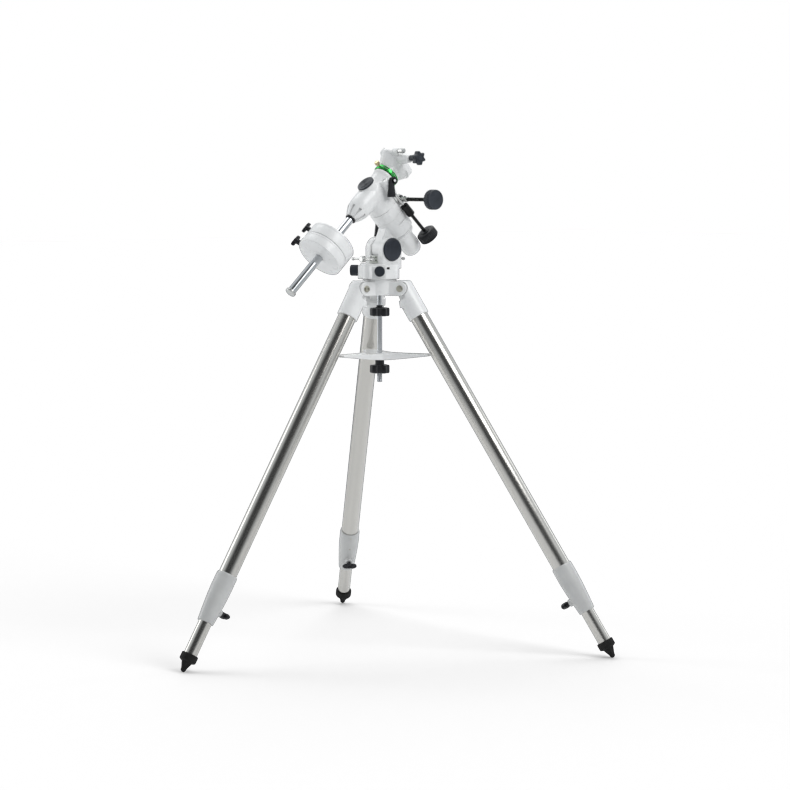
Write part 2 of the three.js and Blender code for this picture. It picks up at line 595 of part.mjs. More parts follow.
// Worm with its coupling and control rod, drawn along +Z with the worm's middle at the origin.
function wormShaft(tail, couplingFrom, couplingTo, couplingRadius, rodRadius, rodTo, sleeve) {
  const profile = [
    [0, -tail], [5.9, -tail], [5.9, -11], [WORM_RADIUS, -11], [WORM_RADIUS, 11], [5.9, 11],
    [5.9, couplingFrom], [couplingRadius, couplingFrom], [couplingRadius, couplingTo], [rodRadius, couplingTo],
  ];
  if (sleeve) {
    const [from, to, radius] = sleeve;
    profile.push([rodRadius, from], [radius - 2, from], [radius, from + 2], [radius, to - 2], [radius - 2, to]);
    profile.push([rodRadius, to]);
  }
  profile.push([rodRadius, rodTo], [0, rodTo]);
  return profile;
}

function controlKnob(from, boreRadius) {
  const to = from + CONTROL_KNOB_LENGTH;
  const profile = [
    [0, from], [12, from], [CONTROL_KNOB_RADIUS - 3, from + 2], [CONTROL_KNOB_RADIUS, from + 5],
    [CONTROL_KNOB_RADIUS, to - 2.5], [CONTROL_KNOB_RADIUS - 2.5, to], [0, to],
  ];
  return cut(
    knurledKnob(CONTROL_KNOB_RADIUS, profile, 14, 1.1),
    rod(boreRadius, from - 1, from + 13, 'z', [0, 0, 0], 20),
  );
}

// RA control: along -Y from the worm.
const raControl = new THREE.Group();
raControl.position.set(RA_WORM_OFFSET, 0, RA_WORM_PLACE);
raControl.rotation.x = Math.PI / 2;
const CONTROL_ROD_RADIUS = 4.8;
addPart(raControl, 'ra_worm_shaft',
  turned(wormShaft(23, 26, 52, 6.4, CONTROL_ROD_RADIUS, RA_KNOB_NEAR + 12), 'z', [0, 0, 0], 24), steel());
addPart(raControl, 'ra_control_knob', controlKnob(RA_KNOB_NEAR, CONTROL_ROD_RADIUS + CLEAR), plastic());
polar.add(raControl);

// Clutch lever: a stem along +Z and a flat blade that hangs towards -X, set off to one side of its eye.
function clutchLever(stemFrom, bladeFrom, thickness, side) {
  const eye = 9.7;
  const [neckHalf, tipHalf, middle] = [8, 12, 8 * side];
  const [shoulder, tip, corner] = [-12, -41, 3];
  const blade = outline([
    [6, middle - neckHalf * 0.7], [8, middle], [6, middle + neckHalf * 0.7], [0, middle + neckHalf],
    [shoulder, middle + neckHalf], [tip + corner, middle + tipHalf], [tip, middle + tipHalf - corner],
    [tip, middle - tipHalf + corner], [tip + corner, middle - tipHalf], [shoulder, middle - neckHalf],
    [0, middle - neckHalf],
  ].reverse());
  return join(
    solid(plate(blade, bladeFrom, bladeFrom + thickness)),
    rod(eye, bladeFrom, bladeFrom + thickness, 'z', [0, 0, 0], 28),
    rod(3.8, stemFrom, bladeFrom + 1, 'z', [0, 0, 0], 16),
    rod(3.4, bladeFrom + thickness - 1, bladeFrom + thickness + 1.2, 'z', [0, 0, 0], 16),
  );
}

// A frame inside the polar group whose +Z looks along -Y or +Y and whose -X hangs straight down.
function leverFrame(x, z, side) {
  const frame = new THREE.Group();
  frame.position.set(x, 0, z);
  const hang = new THREE.Matrix4().makeBasis(
    new THREE.Vector3(Math.cos(latitude), 0, Math.sin(latitude)),
    new THREE.Vector3(Math.sin(latitude), 0, -Math.cos(latitude)).multiplyScalar(side),
    new THREE.Vector3(0, side, 0),
  );
  frame.quaternion.setFromRotationMatrix(hang);
  return frame;
}

const raLever = leverFrame(0, -96, 1);
addPart(raLever, 'ra_clutch_lever', clutchLever(25, 41.2, 7, -1), plastic());
polar.add(raLever);

// ---------------------------------------------------------------- declination housing
const DEC_WORM = [WHEEL_PLACE_DEC, -DEC_WORM_OFFSET, 0];
const DEC_LEVER = [42.5, 1.7];

// Frame whose +Z runs down the declination control's slightly leaning axis.
const decControlFrame = new THREE.Matrix4().compose(
  new THREE.Vector3(...DEC_WORM),
  new THREE.Quaternion().setFromUnitVectors(
    new THREE.Vector3(0, 0, 1),
    new THREE.Vector3(
      Math.tan(radians(DEC_CONTROL_LEAN[0])), -Math.tan(radians(DEC_CONTROL_LEAN[1])), -1,
    ).normalize(),
  ),
  new THREE.Vector3(1, 1, 1),
);
const onDecWorm = (manifold) => manifold.transform(decControlFrame.elements);

function decHousing() {
  const barrel = turned([
    [0, -93], [14, -93], [15.4, -91.5], [21, -82], [25.4, -72.5], [28.2, -61], [29.2, -48],
    [28.9, -32], [DEC_BARREL_RADIUS, -8], [DEC_BARREL_RADIUS, 34], [28.6, 44], [30.6, 49],
    [30.6, DEC_BARREL_TOP - 1], [29.6, DEC_BARREL_TOP], [0, DEC_BARREL_TOP],
  ], 'x', [0, 0, 0], 44);
  const neck = turned([
    [0, -46.5], [37, -46.5], [38.4, -44.5], [38, -38], [36, -30], [33, -20], [30, -8], [27, 4],
    [25, 16], [24, 22], [24, FRONT_COLLAR - 0.8], [23.2, FRONT_COLLAR], [0, FRONT_COLLAR],
  ], 'z', [0, 0, 0], 44);
  const spigot = rod(30.5, -53.4, -45, 'z', [0, 0, 0], 40);
  const wormBox = join(
    onDecWorm(rod(10.2, -16, 16, 'z', [0, 0, 0], 44)),
    onDecWorm(turned([[0, 14], [9, 14], [9, 16], [7.2, 30], [0, 30]], 'z', [0, 0, 0], 24)),
    box(WHEEL_PLACE_DEC - 10, WHEEL_PLACE_DEC + 10, -DEC_WORM_OFFSET, -20, -15.4, 15.4),
  );
  const leverBoss = rod(8, -44.6, -22, 'y', [DEC_LEVER[0], 0, DEC_LEVER[1]], 20);
  return cut(
    join(barrel, neck, spigot, wormBox, leverBoss),
    bore(DEC_SHAFT_RADIUS + 0.35, -58, DEC_BARREL_TOP + 1, 'x', [0, 0, 0], 32),
    bore(WHEEL_RADIUS_DEC + 0.4, WHEEL_PLACE_DEC - 7, WHEEL_PLACE_DEC + 7, 'x', [0, 0, 0], 40),
    rod(BAR_RADIUS + 0.2, -94, -68, 'x', [0, 0, 0], 32),
    rod(RA_SHAFT_RADIUS + CLEAR, -60, -33.5, 'z', [0, 0, 0], 36),
    rod(14.3, FRONT_COLLAR - 9, FRONT_COLLAR + 1, 'z', [0, 0, 0], 36),
    onDecWorm(bore(6.2, -18, 31, 'z', [0, 0, 0], 44)),
    onDecWorm(bore(WORM_RADIUS + 0.3, -11.6, 11.6, 'z', [0, 0, 0], 44)),
    bore(4.1, -60, -16, 'y', [DEC_LEVER[0], 0, DEC_LEVER[1]], 16),
  );
}

addPart(polar, 'dec_housing', decHousing(), paint());
addPart(polar, 'polar_front_cap', turned([
  [0, FRONT_COLLAR - 8.6], [14, FRONT_COLLAR - 8.6], [14, FRONT_COLLAR + CLEAR],
  [22.8, FRONT_COLLAR + CLEAR], [22.8, 32.4], [22, 33.2], [0, 33.2],
], 'z', [0, 0, 0], 36), plastic());
addPart(polar, 'dec_shaft', rod(DEC_SHAFT_RADIUS, -57, 80, 'x', [0, 0, 0], 32), steel());
addPart(polar, 'dec_worm_wheel', turned([
  [DEC_SHAFT_RADIUS + CLEAR, -6.4], [WHEEL_RADIUS_DEC, -6.4], [WHEEL_RADIUS_DEC - 0.8, 0], [WHEEL_RADIUS_DEC, 6.4],
  [DEC_SHAFT_RADIUS + CLEAR, 6.4], [DEC_SHAFT_RADIUS + CLEAR, -6.4],
], 'x', [WHEEL_PLACE_DEC, 0, 0], 48), brass());

// Declination control: along -Z (down the polar axis) from the worm, with a thick grip sleeve.
const decControl = new THREE.Group();
decControl.applyMatrix4(decControlFrame);
const DEC_ROD_RADIUS = 4.3;
addPart(decControl, 'dec_worm_shaft', turned(
  wormShaft(15, 31, 33, 5.5, DEC_ROD_RADIUS, 174, [71, 105, 10.4]), 'z', [0, 0, 0], 24,
), steel());
addPart(decControl, 'dec_control_knob', controlKnob(162, DEC_ROD_RADIUS + CLEAR), plastic());
polar.add(decControl);

const decLever = leverFrame(...DEC_LEVER, -1);
addPart(decLever, 'dec_clutch_lever', clutchLever(20, 46.3, 6, 1), plastic());
polar.add(decLever);

// ---------------------------------------------------------------- setting circle and saddle
addPart(polar, 'dec_setting_circle', cut(
  turned([
    [20.4, 57], [31.5, 57], [CIRCLE_RADIUS, 58.6], [CIRCLE_RADIUS, 66.4], [32.8, 67.4], [20.4, 67.4], [20.4, 57],
  ], 'x', [0, 0, 0], 48),
  rod(2.4, 18, 40, 'z', [62.2, 0, 0], 12),
), anodised());
addPart(polar, 'dec_circle_screw', join(
  rod(2.1, 22, 40, 'z', [62.2, 0, 0], 12),
  turned([[0, 36.5], [4, 36.5], [4, 39], [6.2, 39.4], [6.2, 46.4], [5.4, 47], [0, 47]], 'z', [62.2, 0, 0], 20),
), brass());

const SADDLE_KNOB = [110, 15];
const SAFETY_SCREW = [111, 39];

// Rounded plan of the saddle, drawn in its own plane.
function saddlePlan(length, width, corner) {
  const [x, y] = [length / 2, width / 2];
  const shape = new THREE.Shape();
  shape.moveTo(-x + corner, -y);
  shape.lineTo(x - corner, -y);
  shape.quadraticCurveTo(x, -y, x, -y + corner);
  shape.lineTo(x, y - corner);
  shape.quadraticCurveTo(x, y, x - corner, y);
  shape.lineTo(-x + corner, y);
  shape.quadraticCurveTo(-x, y, -x, y - corner);
  shape.lineTo(-x, -y + corner);
  shape.quadraticCurveTo(-x, -y, -x + corner, -y);
  return shape;
}

const SADDLE_MIDDLE = 2;

function saddle() {
  const plan = plate(saddlePlan(SADDLE_LENGTH, SADDLE_WIDTH, 20), 100, SADDLE_TOP, 6);
  const block = solid(plan.rotateZ(Math.PI / 2).rotateX(Math.PI / 2).rotateZ(Math.PI / 2)
    .translate(0, 0, SADDLE_MIDDLE));
  const flareProfile = [[0, 67.8], [29, 67.8], [34, 76], [40, 86], [45, 95], [48, 101], [0, 101]];
  const flarePoints = flareProfile.map(([r, h]) => new THREE.Vector2(r, h));
  const flare = solid(new THREE.LatheGeometry(flarePoints, sides(44)).rotateZ(-Math.PI / 2)
    .scale(1, 0.66, 1).translate(0, 0, SADDLE_MIDDLE));
  const neck = turned([[0, 57], [20, 57], [20, 67.8], [27, 67.8], [27, 80], [0, 80]], 'x', [0, 0, 0], 36);
  const knobBoss = turned([[0, 20], [15, 20], [13.5, 44], [10.5, 62], [9.8, 66], [0, 66]], 'z', [0, 0, 0], 28)
    .rotate([90, 0, 0]).translate([SADDLE_KNOB[0] - 2, 0, SADDLE_KNOB[1]]);
  const screwBoss = rod(7.5, 20, 37, 'z', [0, 0, 0], 20)
    .rotate([90, 0, 0]).translate([SAFETY_SCREW[0] - 1, 0, SAFETY_SCREW[1]]);
  const groove = solid(plate(outline([
    [SADDLE_FLOOR, -23], [SADDLE_TOP + 6, -18.2], [SADDLE_TOP + 6, 18.2], [SADDLE_FLOOR, 23],
  ]), -80, 80));
  return cut(
    join(block, flare, neck, knobBoss, screwBoss),
    groove,
    rod(DEC_SHAFT_RADIUS + CLEAR, 50, 81, 'x', [0, 0, 0], 32),
    rod(4.3, -80, -10, 'y', [SADDLE_KNOB[0], 0, SADDLE_KNOB[1]], 20),
    rod(2.9, -80, -10, 'y', [SAFETY_SCREW[0], 0, SAFETY_SCREW[1]], 20),
  );
}

addPart(polar, 'dovetail_saddle', saddle(), paint());

function saddleKnob() {
  const lobes = polarOutline((angle) => 15.2 + 2.6 * Math.cos(6 * angle), 36);
  const grip = solid(plate(lobes, 88, 104).rotateX(Math.PI / 2));
  const stem = turned([[0, 23], [4, 23], [4, 66.4], [7.5, 66.4], [7.5, 84], [10, 89], [0, 89]], 'z', [0, 0, 0], 20)
    .rotate([90, 0, 0]);
  return join(grip, stem).translate([SADDLE_KNOB[0], 0, SADDLE_KNOB[1]]);
}

addPart(polar, 'saddle_clamp_knob', saddleKnob(), plastic());
addPart(polar, 'saddle_safety_screw', turned([
  [0, 23], [2.6, 23], [2.6, 37.4], [5, 37.4], [5, 46], [6.8, 46.5], [6.8, 57], [6, 58], [0, 58],
], 'z', [0, 0, 0], 20).rotate([90, 0, 0]).translate([SAFETY_SCREW[0], 0, SAFETY_SCREW[1]]), steel());

// ---------------------------------------------------------------- counterweights
addPart(polar, 'bar_lock_ring', turned([
  [BAR_RADIUS + CLEAR, -97.4], [13, -97.4], [13.8, -96.6], [13.8, -94.1], [13, -93.4],
  [BAR_RADIUS + CLEAR, -93.4], [BAR_RADIUS + CLEAR, -97.4],
], 'x', [0, 0, 0], 32), plastic());
addPart(polar, 'counterweight_bar', rod(BAR_RADIUS, -BAR_END, -70, 'x', [0, 0, 0], 32), steel());
addPart(polar, 'bar_end_cap', turned([
  [0, -BAR_END - 6.5], [11.5, -BAR_END - 6.5], [13, -BAR_END - 5], [13, -BAR_END - CLEAR], [0, -BAR_END - CLEAR],
], 'x', [0, 0, 0], 28), steel());

const WEIGHT_SCREW_ANGLE = 50;   // from the polar direction towards +Y

WEIGHTS.forEach(([near, far, screwPlace], i) => {
  const number = i + 1;
  const way = BAR_RADIUS + 0.4;
  const chamfer = 1.6;
  const weight = turned([
    [way, -far], [WEIGHT_RADIUS - chamfer, -far], [WEIGHT_RADIUS, -far + chamfer],
    [WEIGHT_RADIUS, -near - chamfer], [WEIGHT_RADIUS - chamfer, -near], [way, -near], [way, -far],
  ], 'x', [0, 0, 0], 56);
  const turn = [-WEIGHT_SCREW_ANGLE, 0, 0];
  const hole = bore(4.3, 8, 70, 'z', [-screwPlace, 0, 0], 16).rotate(turn);
  addPart(polar, `counterweight_${number}`, weight.subtract(hole), paint());
  const wing = new THREE.Shape();
  wing.absellipse(0, 0, 15.5, 5, 0, 2 * Math.PI);
  const screw = join(
    rod(4, 11.5, 74, 'z', [-screwPlace, 0, 0], 16),
    rod(6, 61.6, 73, 'z', [-screwPlace, 0, 0], 18),
    solid(plate(wing, 71, 80, 5).translate(-screwPlace, 0, 0)),
  ).rotate(turn);
  addPart(polar, `weight_screw_${number}`, screw, plastic());
});

// Stand the mount on its feet, with the origin under the middle of its footprint.
mount.updateMatrixWorld(true);
const bounds = new THREE.Box3().setFromObject(mount, true);
mount.position.set(
  -(bounds.min.x + bounds.max.x) / 2,
  -(bounds.min.y + bounds.max.y) / 2,
  -bounds.min.z,
);

export default mount;
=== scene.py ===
import json
import math

import bmesh
import bpy
from mathutils import Matrix, Vector


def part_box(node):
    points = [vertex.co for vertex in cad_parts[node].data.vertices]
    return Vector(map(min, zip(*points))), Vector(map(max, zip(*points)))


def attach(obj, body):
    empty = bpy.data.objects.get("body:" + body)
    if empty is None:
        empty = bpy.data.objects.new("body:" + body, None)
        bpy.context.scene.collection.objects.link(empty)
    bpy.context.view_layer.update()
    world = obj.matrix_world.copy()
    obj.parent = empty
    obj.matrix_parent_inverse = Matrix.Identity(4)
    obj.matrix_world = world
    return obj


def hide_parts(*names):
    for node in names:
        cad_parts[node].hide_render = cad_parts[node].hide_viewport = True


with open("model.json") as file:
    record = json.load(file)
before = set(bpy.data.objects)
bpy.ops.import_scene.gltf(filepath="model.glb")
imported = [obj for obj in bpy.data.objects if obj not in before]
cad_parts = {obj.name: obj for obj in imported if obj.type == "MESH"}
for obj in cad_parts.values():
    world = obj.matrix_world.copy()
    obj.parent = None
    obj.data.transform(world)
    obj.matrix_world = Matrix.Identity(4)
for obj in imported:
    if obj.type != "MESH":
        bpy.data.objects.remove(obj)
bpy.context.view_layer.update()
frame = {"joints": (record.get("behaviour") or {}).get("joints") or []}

MM = 0.001
JOINTS = {joint["name"]: joint for joint in frame["joints"]}

# ---------- driving dimensions
HUB_BOTTOM, HUB_TOP, HUB_RADIUS = 884, 924, 42
LUG_RADIUS, LUG_INSIDE, LUG_OUTSIDE = 17.5, 13.5, 25
HINGE_RADIUS, HINGE_HEIGHT = 62.5, 901
LEG_LENGTH = 1049.7
UPPER_TUBE, LOWER_TUBE = (22.2, 20.7), (16.0, 14.4)      # outer radius, bore
LOWER_TUBE_HIDDEN = 400
COLLAR_TOP, COLLAR_BOTTOM = 797, 925
CLAMP_SCREW = 888
ROD_THREAD_END, TRAY_RIM = 728, 737
FOOT_LENGTH, FOOT_TIP = 45, 6
BASE_RADIUS, BASE_TOP, BLOCK_TOP = 49, 962, 957
AZIMUTH_KNOB_ANGLE, AZIMUTH_KNOB_HEIGHT, POINTER_ANGLE = 50.5, 945, -15.5
ALTITUDE_X, ALTITUDE_Z = 12.5, 998
CHEEK_INSIDE, CHEEK_OUTSIDE, CHEEK_RADIUS = 15.7, 34, 30.5
CAP_FACE = 38
LATITUDE_BOLT = 974.5
RA_RADIUS, RA_REAR, RA_FRONT = 38.5, -129, -50
RA_WORM = (42, 0, -62)
RA_LEVER = -96
DEC_WORM = (28.5, -34.9, 0)
DEC_LEVER = (42.5, 0, 1.7)
CIRCLE_RADIUS = 33
WORM_RATIO, WHEEL_WIDTH = 144, 25
SADDLE_FLOOR, SADDLE_TOP, SADDLE_OFFSET = 105, 118, 2
CLAMP_PLACE, SAFETY_PLACE = (110, 0, 15), (111, 0, 39)
BAR_RADIUS, BAR_END = 10, 350
WEIGHT_RADIUS = 61
WEIGHTS = ((170.5, 203.3, 178.5), (204.1, 231.5, 224))      # near face, far face, screw
WEIGHT_SCREW_ANGLE = 50


# ---------- frames
def frame_at(origin, x_axis, z_axis):
    """Matrix with its origin there and its X and Z along the given directions."""
    z = Vector(z_axis).normalized()
    x = Vector(x_axis).normalized()
    turn = Matrix((x, z.cross(x), z)).transposed()
    return Matrix.Translation(Vector(origin)) @ turn.to_4x4()


AXIS_X = JOINTS["azimuth_turn"]["pos_m"][0]
TRIPOD = frame_at((AXIS_X, 0, 0), (1, 0, 0), (0, 0, 1))
HEAD = frame_at(JOINTS["ra_turn"]["pos_m"], JOINTS["dec_turn"]["axis"], JOINTS["ra_turn"]["axis"])


def leg_frame(number):
    """Hinge at the origin, the tube down -Z, the tripod's outside on +X."""
    down = Vector(JOINTS[f"leg_{number}_extend"]["axis"])
    across = Vector(JOINTS[f"leg_{number}_fold"]["axis"])
    return frame_at(JOINTS[f"leg_{number}_fold"]["pos_m"], across.cross(-down), -down)


def joint_frame(name, x_axis=(1, 0, 0)):
    """Frame on a turning joint, +Z along its axis."""
    z = Vector(JOINTS[name]["axis"]).normalized()
    x = Vector(x_axis) - Vector(x_axis).dot(z) * z
    return frame_at(JOINTS[name]["pos_m"], x, z)


# ---------- shapes
# Turns from +Z to an axis: for turned shapes, and for extruded outlines.
TURN = {
    "z": Matrix.Identity(4),
    "x": Matrix.Rotation(math.pi / 2, 4, "Y"),
    "y": Matrix.Rotation(-math.pi / 2, 4, "X"),
    "-x": Matrix.Rotation(-math.pi / 2, 4, "Y"),
}
TO_SIDE = Matrix.Rotation(math.pi / 2, 4, "X")
PRISM_TURN = {
    "z": Matrix.Identity(4),
    "y": TO_SIDE,
    "x": Matrix(((0, 0, 1, 0), (1, 0, 0, 0), (0, 1, 0, 0), (0, 0, 0, 1))),
}


def rounded(points, radius, steps=4):
    """The same polyline with each inner corner eased by a small arc."""
    points = [Vector(p) for p in points]
    result = [points[0]]
    for before, corner, after in zip(points, points[1:], points[2:]):
        to_before, to_after = before - corner, after - corner
        reach = min(radius, 0.45 * to_before.length, 0.45 * to_after.length)
        if reach < 0.02 or to_before.length < 1e-6 or to_after.length < 1e-6:
            result.append(corner)
            continue
        start = corner + to_before.normalized() * reach
        end = corner + to_after.normalized() * reach
        for i in range(steps + 1):
            t = i / steps
            result.append((1 - t) ** 2 * start + 2 * t * (1 - t) * corner + t * t * end)
    result.append(points[-1])
    return result


def lathe(profile, axis="z", at=(0, 0, 0), steps=96, ease=0.4, shape=None):
    """Turned solid. profile is (radius, height) pairs; shape(angle, r, h) may change the radius."""
    profile = rounded(profile, ease) if ease else [Vector(p) for p in profile]
    closed = (profile[0] - profile[-1]).length < 1e-6
    if closed:
        profile = profile[:-1]
    bm = bmesh.new()
    rings = []
    for radius, height in profile:
        if radius < 1e-6:
            rings.append([bm.verts.new((0, 0, height))])
            continue
        ring = []
        for i in range(steps):
            angle = 2 * math.pi * i / steps
            r = shape(angle, radius, height) if shape else radius
            ring.append(bm.verts.new((r * math.cos(angle), r * math.sin(angle), height)))
        rings.append(ring)
    pairs = list(zip(rings, rings[1:] + rings[:1])) if closed else list(zip(rings, rings[1:]))
    for low, high in pairs:
        for i in range(steps):
            j = (i + 1) % steps
            if len(low) == 1 and len(high) == 1:
                continue
            if len(low) == 1:
                bm.faces.new((low[0], high[j], high[i]))
            elif len(high) == 1:
                bm.faces.new((low[i], low[j], high[0]))
            else:
                bm.faces.new((low[i], low[j], high[j], high[i]))
    bmesh.ops.recalc_face_normals(bm, faces=bm.faces)
    bm.transform(Matrix.Translation(Vector(at)) @ TURN[axis])
    return bm


def rod(radius, low, high, axis="z", at=(0, 0, 0), steps=64, ease=0.4):
    return lathe([(0, low), (radius, low), (radius, high), (0, high)], axis, at, steps, ease)


def hole(radius, low, high, axis="z", at=(0, 0, 0), steps=96):
    """Rod with hard edges, to cut with."""
    return rod(radius, low, high, axis, at, steps, 0)


def ring(bore, radius, low, high, axis="z", at=(0, 0, 0), steps=96, ease=0.4):
    profile = [(bore, low), (radius, low), (radius, high), (bore, high), (bore, low)]
    return lathe(profile, axis, at, steps, ease)


def prism(outline, low, high, axis="z", at=(0, 0, 0), bevel=0.0, segments=3):
    """Outline extruded along an axis: X and Y along z, X and -Z along y, Y and Z along x."""
    bm = bmesh.new()
    bottom = [bm.verts.new((x, y, low)) for x, y in outline]
    top = [bm.verts.new((x, y, high)) for x, y in outline]
    bm.faces.new(bottom)
    bm.faces.new(top)
    count = len(outline)
    for i in range(count):
        j = (i + 1) % count
        bm.faces.new((bottom[i], bottom[j], top[j], top[i]))
    bmesh.ops.recalc_face_normals(bm, faces=bm.faces)
    if bevel:
        rims = [e for e in bm.edges if abs(e.verts[0].co.z - e.verts[1].co.z) < 1e-6]
        bmesh.ops.bevel(bm, geom=rims, offset=bevel, segments=segments, profile=0.5, affect="EDGES")
    bm.transform(Matrix.Translation(Vector(at)) @ PRISM_TURN[axis])
    return bm


def block(x0, x1, y0, y1, z0, z1, bevel=0.0):
    return prism([(x0, y0), (x1, y0), (x1, y1), (x0, y1)], z0, z1, bevel=bevel)


def arc(centre, radius, start, end, steps=24):
    """Points round a circle from one angle in degrees to another."""
    points = []
    for i in range(steps + 1):
        angle = math.radians(start + (end - start) * i / steps)
        points.append((centre[0] + radius * math.cos(angle), centre[1] + radius * math.sin(angle)))
    return points


def polar(radius_at, steps=192):
    """Closed outline whose radius is a function of the angle."""
    angles = [2 * math.pi * i / steps for i in range(steps)]
    return [(radius_at(a) * math.cos(a), radius_at(a) * math.sin(a)) for a in angles]


def moved(bm, matrix):
    bm.transform(matrix)
    return bm


def spun(bm, degrees, axis="Z"):
    return moved(bm, Matrix.Rotation(math.radians(degrees), 4, axis))


def mesh_of(name, shapes):
    """One mesh in metres from several shapes in millimetres."""
    whole = bmesh.new()
    for bm in shapes:
        part = bpy.data.meshes.new("part")
        bm.to_mesh(part)
        bm.free()
        whole.from_mesh(part)
        bpy.data.meshes.remove(part)
    whole.transform(Matrix.Scale(MM, 4))
    mesh = bpy.data.meshes.new(name)
    whole.to_mesh(mesh)
    whole.free()
    return mesh


def settle(obj):
    """Apply an object's modifiers to its mesh."""
    bpy.context.view_layer.update()
    graph = bpy.context.evaluated_depsgraph_get()
    mesh = bpy.data.meshes.new_from_object(obj.evaluated_get(graph))
    obj.modifiers.clear()
    obj.data = mesh
    return mesh


def cut_away(obj, shapes):
    """Cut the shapes out of an object, leaving crisp edges."""
    tool = bpy.data.objects.new("cutter", mesh_of("cutter", shapes))
    bpy.context.collection.objects.link(tool)
    cut = obj.modifiers.new("cut", "BOOLEAN")
    cut.operation = "DIFFERENCE"
    cut.solver = "MANIFOLD"
    cut.object = tool
    settle(obj)
    bpy.data.objects.remove(tool)


def cut_mesh(name, shapes, cuts):
    """One mesh of the shapes, with the cuts taken out of it."""
    obj = bpy.data.objects.new(name, mesh_of(name, shapes))
    bpy.context.collection.objects.link(obj)
    cut_away(obj, cuts)
    mesh = obj.data
    bpy.data.objects.remove(obj)
    return mesh


def cast_mesh(name, solids, soft_cuts=(), crisp_cuts=(), voxel=0.9, rounds=8):
    """A casting: the solids run together, with eased edges and filleted corners.

    Soft cuts are made before the easing, so their edges are eased too; crisp cuts come after it.
    """
    obj = bpy.data.objects.new(name, mesh_of(name, solids))
    bpy.context.collection.objects.link(obj)
    for last in (False, True) if soft_cuts else (True,):
        remesh = obj.modifiers.new("remesh", "REMESH")
        remesh.mode = "VOXEL"
        remesh.voxel_size = voxel * MM
        if last:
            ease = obj.modifiers.new("ease", "SMOOTH")
            ease.factor = 0.5
            ease.iterations = rounds
        settle(obj)
        if not last:
            for shape in soft_cuts:
                cut_away(obj, [shape])
    if crisp_cuts:
        cut_away(obj, crisp_cuts)
    mesh = obj.data
    bpy.data.objects.remove(obj)
    mesh.name = name
    return mesh


SHARP = math.radians(32)


def shade(mesh):
    """Smooth shading with sharp edges kept."""
    bm = bmesh.new()
    bm.from_mesh(mesh)
    for face in bm.faces:
        face.smooth = True
    for edge in bm.edges:
        edge.smooth = not (len(edge.link_faces) == 2 and edge.calc_face_angle(0) > SHARP)
    bm.to_mesh(mesh)
    bm.free()


def piece(name, shapes, place, body, material, replaces=()):
    """A finished piece: its mesh in a frame, on a body, with a material."""
    mesh = shapes if isinstance(shapes, bpy.types.Mesh) else mesh_of(name, shapes)
    shade(mesh)
    mesh.materials.clear()
    mesh.materials.append(material)
    obj = bpy.data.objects.new(name, mesh)
    bpy.context.collection.objects.link(obj)
    obj.matrix_world = place
    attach(obj, body)
    if replaces:
        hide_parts(*replaces)
    return obj


# ---------- materials
def new_material(name, colour, roughness, metallic=0.0, **sockets):
    material = bpy.data.materials.new(name)
    material.use_nodes = True
    shader = material.node_tree.nodes["Principled BSDF"]
    shader.inputs["Base Color"].default_value = (*colour, 1)
    shader.inputs["Roughness"].default_value = roughness
    shader.inputs["Metallic"].default_value = metallic
    for socket, value in sockets.items():
        shader.inputs[socket.replace("_", " ")].default_value = value
    return material


def noise(material, scale, detail=4.0, stretch=(1, 1, 1), rough=0.55):
    """A noise texture in the piece's own coordinates."""
    nodes, links = material.node_tree.nodes, material.node_tree.links
    where = nodes.new("ShaderNodeTexCoord")
    mapping = nodes.new("ShaderNodeMapping")
    mapping.inputs["Scale"].default_value = stretch
    texture = nodes.new("ShaderNodeTexNoise")
    texture.inputs["Scale"].default_value = scale
    texture.inputs["Detail"].default_value = detail
    texture.inputs["Roughness"].default_value = rough
    links.new(where.outputs["Object"], mapping.inputs["Vector"])
    links.new(mapping.outputs["Vector"], texture.inputs["Vector"])
    return texture.outputs["Fac"]


def spread(material, value, low, high, start=0.3, end=0.7):
    """Map a texture value to a range of numbers."""
    node = material.node_tree.nodes.new("ShaderNodeMapRange")
    node.inputs["From Min"].default_value = start
    node.inputs["From Max"].default_value = end
    node.inputs["To Min"].default_value = low
    node.inputs["To Max"].default_value = high
    material.node_tree.links.new(value, node.inputs["Value"])
    return node.outputs["Result"]


def tint(material, value, dark, light):
    """Colour that varies between two tones with a texture value."""
    nodes, links = material.node_tree.nodes, material.node_tree.links
    ramp = nodes.new("ShaderNodeValToRGB")
    ramp.color_ramp.elements[0].position = 0.3
    ramp.color_ramp.elements[0].color = (*dark, 1)
    ramp.color_ramp.elements[1].position = 0.7
    ramp.color_ramp.elements[1].color = (*light, 1)
    links.new(value, ramp.inputs["Fac"])
    links.new(ramp.outputs["Color"], nodes["Principled BSDF"].inputs["Base Color"])


def roughen(material, value, low, high):
    shader = material.node_tree.nodes["Principled BSDF"]
    material.node_tree.links.new(spread(material, value, low, high), shader.inputs["Roughness"])


def emboss(material, value, strength, depth):
    """Bump from a texture value; depth in millimetres."""
    nodes, links = material.node_tree.nodes, material.node_tree.links
    bump = nodes.new("ShaderNodeBump")
    bump.inputs["Strength"].default_value = strength
    bump.inputs["Distance"].default_value = depth * MM
    links.new(value, bump.inputs["Height"])
    links.new(bump.outputs["Normal"], nodes["Principled BSDF"].inputs["Normal"])


def painted(name, dark, light, roughness, peel=0.25):
    """Stoved enamel: slight tone drift, orange peel and a thin clear coat."""
    material = new_material(name, light, sum(roughness) / 2, Coat_Weight=0.35, Coat_Roughness=0.18)
    tint(material, noise(material, 22, 3), dark, light)
    roughen(material, noise(material, 60, 4), *roughness)
    emboss(material, noise(material, 900, 2), peel, 0.05)
    return material


def turned_metal(name, dark, light, roughness, stretch=(1, 1, 1), scale=500, grain=0.3):
    """Bare metal with a fine grain drawn out along one direction."""
    material = new_material(name, light, sum(roughness) / 2, 1.0)
    tint(material, noise(material, 14, 3, stretch), dark, light)
    roughen(material, noise(material, scale, 5, stretch), *roughness)
    emboss(material, noise(material, scale, 5, stretch), grain, 0.02)
    return material


